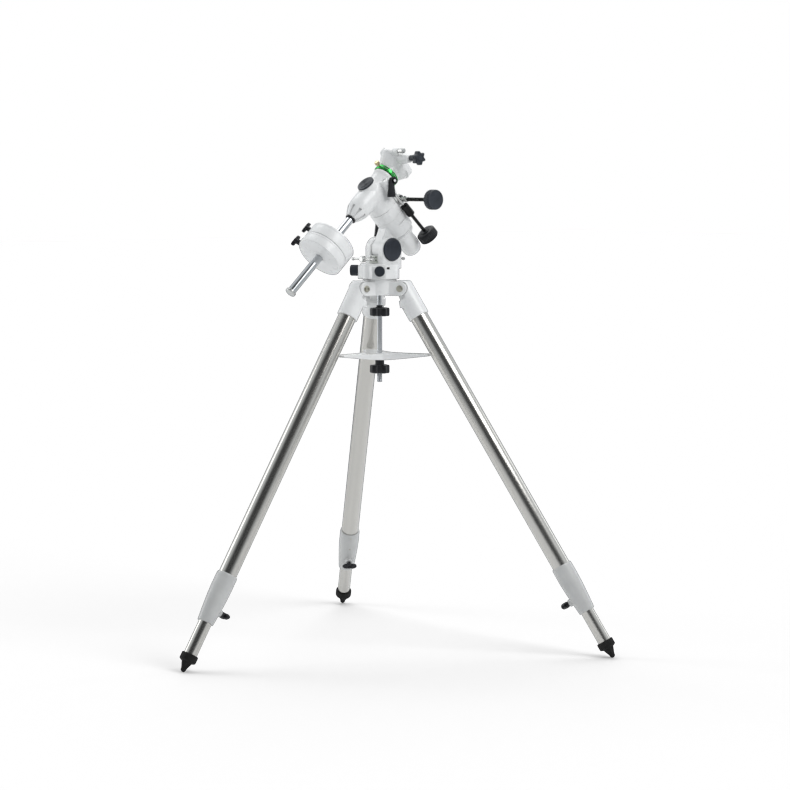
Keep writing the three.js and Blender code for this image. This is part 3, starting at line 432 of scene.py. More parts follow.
def moulded(name, dark, light, roughness, grain=0.35, scale=1500, **sockets):
    """Moulded plastic or rubber with a fine spark-eroded grain."""
    material = new_material(name, light, sum(roughness) / 2, **sockets)
    tint(material, noise(material, 40, 3), dark, light)
    roughen(material, noise(material, 120, 4), *roughness)
    emboss(material, noise(material, scale, 3), grain, 0.06)
    return material


WHITE = painted("white_enamel", (0.80, 0.80, 0.795), (0.86, 0.86, 0.855), (0.24, 0.38))
COLLAR = painted("light_grey_enamel", (0.50, 0.50, 0.495), (0.565, 0.565, 0.555), (0.34, 0.48))
BRACKET = painted("grey_green_enamel", (0.48, 0.50, 0.45), (0.56, 0.58, 0.53), (0.30, 0.44))
# Near-black matt material for thin rings set into the seams between parts: painted shadow, standing in for
# the shade that falls in those gaps
SHADOW_GAP = moulded("painted_shadow_gap", (0.02, 0.02, 0.02), (0.035, 0.035, 0.036), (0.6, 0.8))
TUBE = turned_metal("stainless_tube", (0.52, 0.505, 0.475), (0.62, 0.605, 0.575), (0.16, 0.27),
                    (1, 1, 0.012), 900, 0.22)
CHROME = turned_metal("chromed_bar", (0.50, 0.515, 0.535), (0.58, 0.595, 0.61), (0.05, 0.11),
                      (0.02, 1, 1), 700, 0.06)
STEEL = turned_metal("bright_steel", (0.50, 0.50, 0.49), (0.62, 0.62, 0.61), (0.18, 0.32))
ZINC = turned_metal("zinc_steel", (0.40, 0.39, 0.34), (0.55, 0.53, 0.45), (0.26, 0.42))
BRASS = turned_metal("turned_brass", (0.52, 0.42, 0.24), (0.68, 0.57, 0.36), (0.18, 0.34))
GREEN = turned_metal("green_anodised", (0.015, 0.26, 0.035), (0.045, 0.42, 0.080), (0.16, 0.28),
                     (0.05, 1, 1), 700, 0.18)
BLACK = moulded("black_plastic", (0.006, 0.006, 0.008), (0.016, 0.017, 0.020), (0.36, 0.52),
                Specular_IOR_Level=0.3)
BLUE_BLACK = moulded("blue_black_plastic", (0.019, 0.023, 0.030), (0.034, 0.040, 0.051), (0.32, 0.46),
                     Specular_IOR_Level=0.3)
GLOSSY = moulded("glossy_cap", (0.010, 0.013, 0.021), (0.019, 0.024, 0.037), (0.14, 0.24), 0.05, 300,
                 Coat_Weight=0.25, Coat_Roughness=0.08, Specular_IOR_Level=0.35)
BLACK_METAL = turned_metal("blackened_steel", (0.018, 0.018, 0.018), (0.040, 0.040, 0.040), (0.28, 0.42))
RUBBER = moulded("moulded_rubber", (0.005, 0.005, 0.005), (0.014, 0.014, 0.013), (0.62, 0.82), 0.5, 700,
                 Specular_IOR_Level=0.25)
INK = moulded("engraved_ink", (0.70, 0.75, 0.70), (0.82, 0.86, 0.82), (0.5, 0.6))


# ---------- small hardware
def six_sided(radius):
    return [(radius * math.cos(a * math.pi / 3), radius * math.sin(a * math.pi / 3)) for a in range(6)]


def socket_screw(radius, height, hexagon):
    """Cap screw head standing on z = 0, with its hexagon socket."""
    head = rod(radius, 0, height, ease=0.6)
    socket = prism(six_sided(hexagon), height * 0.4, height + 1)
    bm = bmesh.new()
    bm.from_mesh(cut_mesh("screw", [head], [socket]))
    bm.transform(Matrix.Scale(1 / MM, 4))
    return bm


def screw_at(place, axis, *sizes):
    """Cap screw head at a place, facing along an axis."""
    return moved(socket_screw(*sizes), Matrix.Translation(place) @ TURN[axis])


def lobed(radius, depth, count, low, high):
    """Hand knob with rounded lobes."""
    outline = polar(lambda a: radius - depth * (0.5 - 0.5 * math.cos(count * a)))
    return prism(outline, low, high, bevel=2.6)


def wings(reach, depth, waist, hub):
    """Outline of a wing screw's wings, drawn in to a share of their depth at the hub."""
    oval = polar(lambda a: 1 / math.hypot(math.cos(a) / reach, math.sin(a) / depth), 96)
    return [(x, y * (waist + (1 - waist) * min(1, abs(x) / hub))) for x, y in oval]


def ribbed(count, depth, low, high):
    """Radius rule that cuts fine round flutes between two heights."""
    def rule(angle, r, h):
        if not low <= h <= high:
            return r
        return r - depth * (0.5 - 0.5 * math.cos(count * angle)) ** 2
    return rule


# ---------- tripod
def lug(side):
    """One of the hub's two lugs for a leg pointing along +X."""
    rim = arc((HINGE_RADIUS, HINGE_HEIGHT), LUG_RADIUS, -90, 90)
    outline = [(20, HINGE_HEIGHT - LUG_RADIUS)] + rim + [(20, HINGE_HEIGHT + LUG_RADIUS)]
    low, high = (LUG_INSIDE, LUG_OUTSIDE) if side > 0 else (-LUG_OUTSIDE, -LUG_INSIDE)
    return prism(outline, low, high, "y", bevel=0.8)


def leg_turn(number):
    """Direction of a leg round the tripod, in degrees."""
    x, y, _ = JOINTS[f"leg_{number}_extend"]["axis"]
    return math.degrees(math.atan2(y, x))


LEG_TURNS = [leg_turn(number) for number in (1, 2, 3)]


def tripod_head():
    solids = [rod(HUB_RADIUS, HUB_BOTTOM, HUB_TOP, steps=128, ease=1.2)]
    holes = [rod(6.3, HUB_BOTTOM - 2, HUB_TOP + 20, steps=48)]
    for azimuth in LEG_TURNS:
        solids += [spun(lug(side), azimuth) for side in (-1, 1)]
        holes.append(spun(rod(5.4, -40, 40, "y", (HINGE_RADIUS, 0, HINGE_HEIGHT), 48), azimuth))
    solids.append(block(-22, -10, -9, 9, HUB_TOP - 1, HUB_TOP + 15))
    mesh = cast_mesh("hub_casting", solids, crisp_cuts=holes, rounds=6)
    piece("hub_casting", mesh, TRIPOD, "tripod_head", WHITE, ["tripod_hub"])


def leg_casting_mesh():
    """Tongue between the hub's lugs, cheeks that wrap them, and the socket of the tube."""
    side = [(-24, -42), (-17, -24)] + arc((0, 0), LUG_RADIUS - 0.7, 207, 118, 20)
    side += [(-4, 25), (21, 10), (24.8, 6.4), (26.2, 2), (26.2, -42)]
    reach = LUG_OUTSIDE + 0.6
    body = prism(side, -reach, reach, "y", bevel=1.0)
    socket = lathe([(0, -82), (26.2, -82), (26.2, -30), (0, -30)], ease=1.2)
    rooms = [prism(arc((0, 0), 26.4, -80, 80, 40) + [(5, 50), (50, 50), (50, -50), (5, -50)], -84, 44)]
    for low, high in ((LUG_INSIDE - 0.5, 40), (-40, -LUG_INSIDE + 0.5)):
        rooms.append(hole(LUG_RADIUS + 1.2, low, high, "y"))
        corner = [(0, -26), (-40, -26), (-40, 40), (-8, 40), (14, 12.4)]
        rooms.append(prism(corner, low, high, "y"))
    bore = [hole(22.45, -88, -38), hole(5.4, -60, 60, "y", steps=48)]
    return cast_mesh("leg_casting", [body, socket], rooms, bore, rounds=6)


def collar_mesh():
    upper, lower = UPPER_TUBE[0] + 0.25, LOWER_TUBE[0] + 0.25
    step = -COLLAR_TOP - 42
    body = lathe([
        (upper, -COLLAR_TOP), (24.6, -COLLAR_TOP), (25.6, -COLLAR_TOP - 4), (25.8, -COLLAR_TOP - 34),
        (25.0, -COLLAR_TOP - 60), (22.6, -COLLAR_TOP - 96), (20.4, -COLLAR_BOTTOM + 6),
        (19.8, -COLLAR_BOTTOM), (lower, -COLLAR_BOTTOM), (lower, step), (upper, step),
        (upper, -COLLAR_TOP),
    ], steps=128, ease=1.5)
    boss = lathe([(0, -19), (11, -19), (9.4, -23), (8.6, -30), (0, -30)], "x", (0, 0, -CLAMP_SCREW), 64, 1)
    lip = ring(lower, 19.2, -COLLAR_BOTTOM - 0.1, -COLLAR_BOTTOM + 2)
    return mesh_of("clamp_collar", [body, boss, lip])


def clamp_screw_mesh():
    """Wing screw, its wings across the leg, thin at the ends and thick at the hub."""
    place = (0, 0, -CLAMP_SCREW)
    blade = prism(wings(19, 7.5, 0.66, 9), -48, -39.5, "x", place, bevel=2.4, segments=4)
    hub = lathe([(0, -48), (6, -48), (7.2, -45), (7.2, -37), (5.6, -31), (0, -31)], "x", place, 48, 0.8)
    return mesh_of("clamp_wing_screw", [blade, hub, rod(3.6, -33, -17, "x", place, 32)])


def foot_mesh():
    """Rubber foot: a fluted ring round the tube and a finned cone to a round tip."""
    top = -LEG_LENGTH + FOOT_LENGTH - FOOT_TIP
    bore = LOWER_TUBE[0] + 0.1
    tip = arc((0, -LEG_LENGTH), FOOT_TIP, 8, -90, 10)
    profile = [
        (0, top - 12), (bore, top - 12), (bore, top), (19.4, top), (20.4, top - 1.5),
        (20.4, top - 15.5), (18.6, top - 17.5), (13.2, top - 20), (10.6, top - 27), (7.4, -LEG_LENGTH + 5),
    ] + [(max(r, 0), h) for r, h in tip]

    def fins(angle, r, h):
        if h > top - 17:
            return r - (0.5 * (0.5 - 0.5 * math.cos(36 * angle)) if r > 19.6 else 0)
        share = min(1, (top - 17 - h) / 6) * min(1, max(0, (h + LEG_LENGTH - 2) / 8))
        return r - 2.0 * share * (0.5 - 0.5 * math.cos(6 * angle))
    return mesh_of("rubber_foot", [lathe(profile, steps=144, ease=0.9, shape=fins)])


def hinge_bolt_mesh():
    """Socket screw with a washer under its head, and a washer and nut at the far end."""
    reach = LUG_OUTSIDE + 0.3
    washer = reach + 1.2
    return mesh_of("hinge_bolt", [
        rod(5, -reach, reach, "y", steps=48),
        rod(8.4, reach, washer, "y", ease=0.3),
        screw_at((0, washer, 0), "y", 6.6, 3.7, 3.3),
        rod(8.4, -washer, -reach, "y", ease=0.3),
        prism(six_sided(7.4), washer, reach + 4.8, "y", bevel=0.6),
        rod(4.2, -reach - 4.9, -reach - 1, "y", steps=48),
    ])


def legs():
    casting, collar, foot = leg_casting_mesh(), collar_mesh(), foot_mesh()
    screw, bolt = clamp_screw_mesh(), hinge_bolt_mesh()
    foot_top = LEG_LENGTH - FOOT_LENGTH + FOOT_TIP
    for number in (1, 2, 3):
        place = leg_frame(number)
        body, lower = f"leg_{number}", f"lower_leg_{number}"
        piece(f"hinge_casting_{number}", casting.copy(), place, body, WHITE, [f"leg_casting_{number}"])
        screws = [screw_at((-25.2, 0, z), "-x", 2.4, 1.2, 1.2) for z in (-52, -72)]
        piece(f"casting_screws_{number}", screws, place, body, ZINC)
        outer, bore = UPPER_TUBE
        tube = ring(bore, outer, -COLLAR_TOP - 41.5, -38.5, steps=128, ease=0.3)
        piece(f"upper_tube_{number}", [tube], place, body, TUBE, [f"upper_leg_tube_{number}"])
        piece(f"clamp_collar_{number}", collar.copy(), place, body, COLLAR, [f"leg_clamp_collar_{number}"])
        screws = [screw_at((-25.1, 0, -COLLAR_TOP - z), "-x", 2.2, 1.2, 1.1) for z in (12, 48)]
        piece(f"collar_screws_{number}", screws, place, body, ZINC)
        piece(f"hinge_bolt_{number}", bolt.copy(), place, "tripod_head", ZINC, [f"leg_hinge_bolt_{number}"])
        piece(f"clamp_wing_screw_{number}", screw.copy(), place, f"clamp_screw_{number}", BLACK,
              [f"leg_clamp_screw_{number}"])
        outer, bore = LOWER_TUBE
        tube = ring(bore, outer, -foot_top - 11.6, -COLLAR_TOP + LOWER_TUBE_HIDDEN, ease=0.3)
        piece(f"lower_tube_{number}", [tube], place, lower, TUBE, [f"lower_leg_tube_{number}"])
        piece(f"rubber_foot_{number}", foot.copy(), place, lower, RUBBER, [f"leg_foot_{number}"])


def threaded(radius, depth, pitch, low, high, steps=48):
    """Rod with a real helical thread."""
    rows = int((high - low) / (pitch / 6))
    profile = [(0, low), (radius - depth, low)]
    profile += [(radius, low + 0.6 + (high - low - 0.6) * i / rows) for i in range(rows + 1)]
    profile += [(0, high)]

    def helix(angle, r, h):
        if h <= low + 0.01:
            return r
        phase = (h / pitch - angle / (2 * math.pi)) % 1
        return r - depth * abs(2 * phase - 1)
    return lathe(profile, steps=steps, ease=0, shape=helix)


def centre_parts():
    low, high = (corner[2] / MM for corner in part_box("centre_rod"))
    thread = threaded(6, 0.7, 1.75, low, ROD_THREAD_END)
    piece("drawbar", [thread, rod(5.9, ROD_THREAD_END, high)], TRIPOD, "fixing_rod", CHROME, ["centre_rod"])
    for name, low, neck, body, node in (
        ("head_knob", 831, [(12, 851), (8, 854), (8, 858)], "fixing_rod", "head_fixing_knob"),
        ("tray_nut_knob", 687, [(12.6, 707), (11, 710), (11, 719.5)], "tray_nut", "tray_knob"),
    ):
        grip = lobed(24.5, 3.6, 8, low, low + 20)
        bore, top = 6.2, neck[-1][1]
        collar = lathe([(bore, neck[0][1] - 1), (neck[0][0], neck[0][1] - 1)] + neck +
                       [(bore, top), (bore, neck[0][1] - 1)], steps=64, ease=0.8)
        web = lathe([(bore, low - 0.8), (9, low - 0.8), (10, low + 0.4), (bore, low + 0.4),
                     (bore, low - 0.8)], steps=64, ease=0.3)
        piece(name, [grip, collar, web], TRIPOD, body, BLACK, [node])


def bezier(a, b, c, steps=16):
    """Points of a quadratic curve after its first point."""
    points = []
    for i in range(1, steps + 1):
        t = i / steps
        points.append(tuple((1 - t) ** 2 * a[k] + 2 * t * (1 - t) * b[k] + t * t * c[k] for k in (0, 1)))
    return points


def tray_outline(reach, tip_half, waist):
    """Three arms, one to each leg, with hollow edges between them."""
    outline = []
    for azimuth in sorted(LEG_TURNS, key=lambda a: a % 360):
        angle = math.radians(azimuth)

        def at(along, across, a=angle):
            return (along * math.cos(a) - across * math.sin(a), along * math.sin(a) + across * math.cos(a))
        near, far = ((waist * math.cos(angle + turn), waist * math.sin(angle + turn))
                     for turn in (-math.pi / 3, math.pi / 3))
        tip = [at(reach - 4, -tip_half), at(reach, 0), at(reach - 4, tip_half)]
        outline += bezier(near, at(0.62 * reach, -0.8 * tip_half), tip[0])
        outline += bezier(tip[0], tip[1], tip[2], 10)
        outline += bezier(tip[2], at(0.62 * reach, 0.8 * tip_half), far)[:-1]
        outline.append(far)
    return outline


def tray():
    """Dished tray with a round recess for each eyepiece and a skirt that deepens to the middle."""
    rim, floor, root, under = TRAY_RIM, TRAY_RIM - 2.5, TRAY_RIM - 15, TRAY_RIM - 6
    sheet = prism(tray_outline(136, 21, 44), root, rim)
    bowl = lathe([(42, root - 9), (42, root), (136, rim - 3.6), (160, rim - 3.6), (160, root - 9),
                  (42, root - 9)], steps=128, ease=0)
    hollow = prism(tray_outline(132.6, 18.2, 41), root - 2, under)
    dish = prism(tray_outline(132, 18, 40), floor, rim + 4)
    wells = []
    for azimuth in LEG_TURNS:
        for along, radius in ((62, 15.9), (99, 10.5)):
            spot = (along * math.cos(math.radians(azimuth)), along * math.sin(math.radians(azimuth)), 0)
            wells.append(hole(radius, floor - 1.8, rim + 3, at=spot, steps=64))
    mesh = cast_mesh("tray_casting", [sheet], [bowl, hollow, dish] + wells, [rod(6.5, 700, 760, ease=0)],
                     voxel=1.0, rounds=3)
    piece("spreader_tray", mesh, TRIPOD, "tray", WHITE, ["accessory_tray"])
    boss = lathe([(6.5, 720), (10.4, 720), (11, 720.6), (11, rim), (6.5, rim), (6.5, 720)], steps=64)
    piece("tray_boss", [boss], TRIPOD, "tray", WHITE)


# ---------- azimuth base
def azimuth_base():
    bottom = HUB_TOP + 0.3
    knob = math.radians(AZIMUTH_KNOB_ANGLE)

    def face_at(distance, across, side):
        return (-(distance * math.cos(knob) - across * math.sin(knob)),
                side * (distance * math.sin(knob) + across * math.cos(knob)))
    north = [(-47, 28), (-47, -28), face_at(51.7, 15, -1), (0, -BASE_RADIUS + 1), (0, BASE_RADIUS - 1),
             face_at(51.7, 15, 1)]
    cheek = [(ALTITUDE_X + CHEEK_RADIUS, BASE_TOP - 12)]
    cheek += arc((ALTITUDE_X, ALTITUDE_Z), CHEEK_RADIUS, 0, 180, 40)
    cheek += [(ALTITUDE_X - CHEEK_RADIUS, BASE_TOP - 12)]
    solids = [
        rod(BASE_RADIUS, bottom, BASE_TOP, steps=144, ease=1.5),
        prism(north, bottom, BLOCK_TOP, bevel=1.2),
        prism(cheek, CHEEK_INSIDE, CHEEK_OUTSIDE, "y", bevel=1.0),
        prism(cheek, -CHEEK_OUTSIDE, -CHEEK_INSIDE, "y", bevel=1.0),
    ]
    west, east = ALTITUDE_X - CHEEK_RADIUS, ALTITUDE_X + CHEEK_RADIUS
    for low, high in ((west, west + 7.4), (east - 7.4, east)):
        solids.append(block(low, high, -16, 16, BASE_TOP - 10, 983))
    window = moved(block(-6, 6, -3, 3, 949, 955), Matrix.Translation((0, -BASE_RADIUS, 0)))
    crisp = [
        spun(window, POINTER_ANGLE),
        hole(26.5, bottom - 1, HUB_TOP + 18, steps=64),
        hole(6.4, bottom - 1, BASE_TOP + 1, steps=48),
        hole(8.2, -50, 50, "y", (ALTITUDE_X, 0, ALTITUDE_Z), 64),
        hole(4.4, -60, 80, "x", (0, 0, LATITUDE_BOLT), 48),
    ]
    for side in (1, -1):
        way = hole(3.3, 20, 60, "x", (0, 0, AZIMUTH_KNOB_HEIGHT), 32)
        crisp.append(spun(way, 180 + side * AZIMUTH_KNOB_ANGLE))
    mesh = cast_mesh("yoke_casting", solids, crisp_cuts=crisp, rounds=7)
    piece("yoke_casting", mesh, TRIPOD, "azimuth", WHITE, ["azimuth_base"])
    # Thin dark ring in the seam between the hub and the base: painted shadow, standing in for the shade in
    # that gap
    base_shadow_ring = ring(26.6, BASE_RADIUS - 1.6, bottom, bottom + 1.4, ease=0.2)
    piece("base_painted_shadow", [base_shadow_ring], TRIPOD, "azimuth", SHADOW_GAP)
    marker = moved(block(-5.6, 5.6, 0, 1.2, 949.4, 954.6), Matrix.Translation((0, 1.9 - BASE_RADIUS, 0)))
    piece("azimuth_pointer", [spun(marker, POINTER_ANGLE)], TRIPOD, "azimuth", BLACK_METAL)
    plate = prism([(-13.6, 967.4), (13.6, 967.4), (13.6, 982), (-13.6, 982)], west - 1.6, west + 0.6, "x",
                  bevel=0.5)
    guard = prism([(-15.2, 964.6), (15.2, 964.6), (15.2, 968.4), (-15.2, 968.4)], west - 4.6, west + 0.6,
                  "x", bevel=0.8)
    piece("latitude_stop_plate", [plate, guard], TRIPOD, "azimuth", BRACKET)
    screws = [screw_at((west - 1.6, y, z), "-x", 1.9, 1.1, 0.9) for y in (-10, 10) for z in (970.6, 978.8)]
    piece("stop_plate_screws", screws, TRIPOD, "azimuth", BLACK_METAL)


def azimuth_knobs():
    for name in ("west", "east"):
        place = joint_frame(f"azimuth_knob_{name}_turn", (0, 0, 1))
        body = f"azimuth_screw_{name}"
        grip = lathe([(0, -9.4), (12, -9.4), (13.2, -8.2), (13.2, 8.2), (12.2, 9.5), (0, 9.5)], steps=144,
                     ease=0.9, shape=ribbed(24, 0.9, -8.3, 8.2))
        face = lathe([(0, 9.2), (9.6, 9.2), (9.6, 9.5), (8.8, 9.5), (8.2, 9.1), (0, 9.1)], steps=64,
                     ease=0.1)
        piece(f"azimuth_grip_{name}", [grip, face], place, body, BLUE_BLACK, [f"azimuth_knob_{name}"])
        shank = rod(3, -38, -9, steps=32)
        piece(f"azimuth_screw_shank_{name}", [shank], place, body, STEEL)


def altitude_caps():
    at = (ALTITUDE_X, 0, ALTITUDE_Z)
    seat = CHEEK_OUTSIDE + 0.3
    for side, name, node, radius in ((-1, "near", "altitude_cap", 29.3), (1, "far", "altitude_axle", 27)):
        cap = [(0, seat), (radius - 0.9, seat), (radius, seat + 0.6), (radius, CAP_FACE - 2.2),
               (radius - 1.2, CAP_FACE - 0.7), (radius - 4, CAP_FACE), (radius - 6, CAP_FACE - 0.5),
               (0, CAP_FACE - 1.1)]
        disc = lathe([(r, side * h) for r, h in cap], "y", at, 128, 0.9)
        piece(f"altitude_cap_{name}", [disc], TRIPOD, "azimuth", GLOSSY, [node])
    pin = rod(8, 0.2 - CHEEK_OUTSIDE, seat + 0.2, "y", at)
    piece("altitude_axle_pin", [pin], TRIPOD, "azimuth", STEEL)


def latitude_bolts():
    for name, tip, low, high, half in (("north", -7, -59.5, -46.5, 39), ("south", 32, 48, 58, 30)):
        middle = (low + high) / 2
        at = (0, 0, LATITUDE_BOLT)
        inner = sorted((tip, high if tip > high else low))
        shank = rod(4, inner[0], inner[1], "x", at, 48)
        head = lathe([(0, low), (6.8, low), (7.5, low + 1), (7.5, high - 3), (5.6, high - 1.6), (5.6, high),
                      (0, high)], "x", at, 64, 0.5)
        bar = rod(1.8, -half, half, "y", (middle, 0, LATITUDE_BOLT), 32)
        ends = [lathe([(0, -3.4), (2.2, -3.2), (3.4, -1.4), (3.4, 1.4), (2.2, 3.2), (0, 3.4)], "y",
                      (middle, side * half, LATITUDE_BOLT), 48, 0.6) for side in (-1, 1)]
        piece(f"latitude_tommy_{name}", [shank, head, bar] + ends, TRIPOD, f"latitude_screw_{name}", STEEL,
              [f"latitude_bolt_{name}"])


# ---------- polar axis
def lug_place():
    """The altitude axle in the head's frame."""
    spot = HEAD.inverted() @ Vector((AXIS_X + ALTITUDE_X * MM, 0, ALTITUDE_Z * MM))
    return spot.x / MM, spot.z / MM


def ra_housing():
    lug_x, lug_z = lug_place()
    neck = [(-30, -84), (-50, -94), (lug_x, lug_z + 26.5), (lug_x, lug_z), (-46, RA_REAR), (-30, RA_REAR)]
    barrel = [(0, RA_REAR), (36.8, RA_REAR), (RA_RADIUS, RA_REAR + 2), (RA_RADIUS, RA_FRONT - 1.6),
              (37.2, RA_FRONT), (0, RA_FRONT)]
    wx, _, wz = RA_WORM
    solids = [
        rod(27, -15.2, 15.2, "y", (lug_x, 0, lug_z), 128, 1.5),
        prism(neck, -15.2, 15.2, "y", bevel=1.0),
        lathe(barrel, steps=144, ease=1),
        rod(12.4, -24, 24, "y", RA_WORM, 96, 1.4),
        block(20, wx, -24, 24, wz - 12, wz + 12),
        rod(9, 30, 40.5, "y", (0, 0, RA_LEVER), 64, 1),
    ]
    crisp = [
        hole(16.2, RA_REAR - 1, -60),
        hole(32.1, -72, RA_FRONT + 1),
        hole(6.4, -40, 40, "y", RA_WORM, 64),
        hole(9.7, -12, 12, "y", RA_WORM, 64),
        hole(8.3, -50, 50, "y", (lug_x, 0, lug_z), 64),
        hole(4.2, 24, 50, "y", (0, 0, RA_LEVER), 48),
        ring(RA_RADIUS - 0.8, RA_RADIUS + 2, -79.2, -78, steps=144, ease=0),
        block(-30, 30, -60, -34.6, -100, RA_FRONT + 2),
    ]
    mesh = cast_mesh("polar_housing", solids, crisp_cuts=crisp)
    piece("polar_housing", mesh, HEAD, "ra_body", WHITE, ["ra_housing"])
    worm_place = Matrix.Translation(Vector(RA_WORM)) @ TO_SIDE
    collar = moved(ring(7, 10.6, 22, 25.2, steps=64), worm_place)
    piece("polar_worm_ring", [collar], HEAD, "ra_body", BLACK_METAL)
    screws = [screw_at((wx + 8.6, y, wz + z), "x", 2.2, 1.4, 1.1) for z in (-7.4, 7.4) for y in (-17, 17)]
    piece("polar_worm_screws", screws, HEAD, "ra_body", ZINC)


def graduations(radius, low, long_low, high, axis, count, long_every):
    """Engraved marks round a circle's rim."""
    marks = []
    for i in range(count):
        start = long_low if i % long_every == 0 else low
        mark = block(radius - 0.3, radius + 0.06, -0.22, 0.22, start, high)
        spun(mark, 360 * i / count)
        marks.append(moved(mark, TURN[axis]))
    return marks


def polar_parts():
    piece("polar_shaft", [ring(12, 15.9, -150, -34)], HEAD, "dec_body", STEEL, ["ra_shaft"])
    wheel = [(16.2, -70), (31.5, -70), (31.5, -66.5), (30.6, -62), (31.5, -57.5), (31.5, -54), (16.2, -54),
             (16.2, -70)]
    teeth = ribbed(WORM_RATIO, 0.7, -67, -57)
    piece("polar_worm_wheel", [lathe(wheel, steps=2 * WORM_RATIO, ease=0.3, shape=teeth)], HEAD, "dec_body",
          BRASS, ["ra_worm_wheel"])
    circle = [(16.2, -143), (30.6, -143), (CIRCLE_RADIUS, -140.4), (CIRCLE_RADIUS, -132.6), (31.6, -131.3),
              (16.2, -131.3), (16.2, -143)]
    piece("polar_circle", [lathe(circle, steps=144, ease=0.5)], HEAD, "ra_circle", WHITE,
          ["ra_setting_circle"])
    marks = graduations(CIRCLE_RADIUS, -136.5, -138.5, -133.2, "z", 72, 6)
    piece("polar_circle_marks", marks, HEAD, "ra_circle", BLACK_METAL)
    dome = [(0, -205.9), (6, -205.8), (12, -205.2), (17, -203.0), (20.8, -199), (23, -193), (23.9, -185),
            (24, -147), (23.2, -143.8), (16.3, -143.8), (16.3, -168), (0, -168)]
    piece("polar_scope_dome", [lathe(dome, steps=128, ease=2.4)], HEAD, "scope_cap", WHITE,
          ["polar_scope_cap"])
    cap = [(0, 20), (14, 20), (14, 28.9), (22.4, 28.9), (22.8, 29.4), (22.8, 32.2), (22.0, 33.1),
           (20.6, 33.1), (19.8, 32.3), (0, 32.3)]
    rings = [ring(r, r + 0.9, 32.2, 32.75, ease=0.2) for r in (4, 7.6, 11.2, 14.8)]
    piece("polar_front_lid", [lathe(cap, steps=128, ease=0.5)] + rings, HEAD, "front_cap", BLUE_BLACK,
          ["polar_front_cap"])


def control_wheel(low):
    """Ribbed hand wheel, a groove near its face and a shallow dish in the face."""
    high = low + WHEEL_WIDTH
    return [lathe([
        (0, low), (11.6, low), (12.4, low + 0.8), (12.4, low + 2.4), (20.6, low + 3.2), (25, low + 6.4),
        (25, high - 5.6), (24, high - 5.0), (24, high - 3.9), (25, high - 3.3), (24.6, high - 0.9),
        (22.8, high), (21.4, high - 0.5), (0, high - 0.9),
    ], steps=224, ease=0.6, shape=ribbed(28, 1.1, low + 5, high - 5.2))]


def ra_control():
    place = joint_frame("ra_worm_turn")
    worm = lathe([(0, -23), (5.9, -23), (5.9, -11), (9, -11), (9, 11), (5.9, 11), (5.9, 25), (0, 25)])
    coupling = lathe([(0, 25.6), (6.1, 25.6), (6.4, 26.4), (6.4, 51), (5.8, 52), (0, 52)])
    piece("polar_worm_and_coupling", [worm, coupling], place, "ra_worm", STEEL, ["ra_worm_shaft"])
    screw = screw_at((0, 6.2, 40), "y", 2.3, 1.9, 1.2)
    piece("polar_coupling_screw", [screw], place, "ra_worm", BLACK_METAL)
    control = [rod(4.8, 51, 146), rod(6.2, 24.9, 30)]
    piece("polar_control_rod", control, place, "ra_worm", BLACK_METAL)
    piece("polar_control_wheel", control_wheel(134.5), place, "ra_worm", BLUE_BLACK, ["ra_control_knob"])


def lever_shapes(low, thickness, side):
    """Clutch lever: a round eye and a blade beside it that widens down to a square end."""
    middle, length = 8 * side, 41
    blade = arc((2, middle), 6.4, 90, -90, 16)
    blade += [(-12, middle - 8), (-length + 6, middle - 11.2)]
    blade += arc((-length + 2.4, middle - 9.6), 2.4, -90, -180, 6)
    blade += arc((-length + 2.4, middle + 9.6), 2.4, 180, 90, 6)
    blade += [(-length + 6, middle + 11.2), (-12, middle + 8)]
    high = low + thickness
    rib = block(-length + 5, -length + 6.4, middle - 9, middle + 9, high - 0.4, high + 0.5)
    return [prism(blade, low, high, bevel=1.2), rod(9.7, low, high, ease=1.2), rib]


def lever_place(name):
    """Lever frame: +Z outwards along the joint, -X straight down."""
    pos, axis = JOINTS[name]["pos_m"], JOINTS[name]["axis"]
    out = Vector((0, 1 if Vector(axis).y > 0 else -1, 0))
    return frame_at((pos[0], 0, pos[2]), (0, 0, 1), out)


def clutch_levers():
    for name, body, node, stem, low, thick, side in (
        ("ra_clutch_swing", "ra_clutch", "ra_clutch_lever", 25, 41.2, 7.0, -1),
        ("dec_clutch_swing", "dec_clutch", "dec_clutch_lever", 20, 46.3, 6.0, 1),
    ):
        place = lever_place(name)
        shank = rod(3.8, stem, low + 1, steps=48)
        piece(f"{body}_blade", lever_shapes(low, thick, side) + [shank], place, body, BLACK, [node])
        eye = lathe([(0, low + thick - 1), (3.4, low + thick - 1), (3.4, low + thick + 0.8),
                     (3.0, low + thick + 1.2), (0, low + thick + 1.2)], steps=64, ease=0.3)
        piece(f"{body}_eye", [eye], place, body, WHITE)


# ---------- declination axis
def dec_control_place():
    return joint_frame("dec_worm_turn", JOINTS["dec_turn"]["axis"])


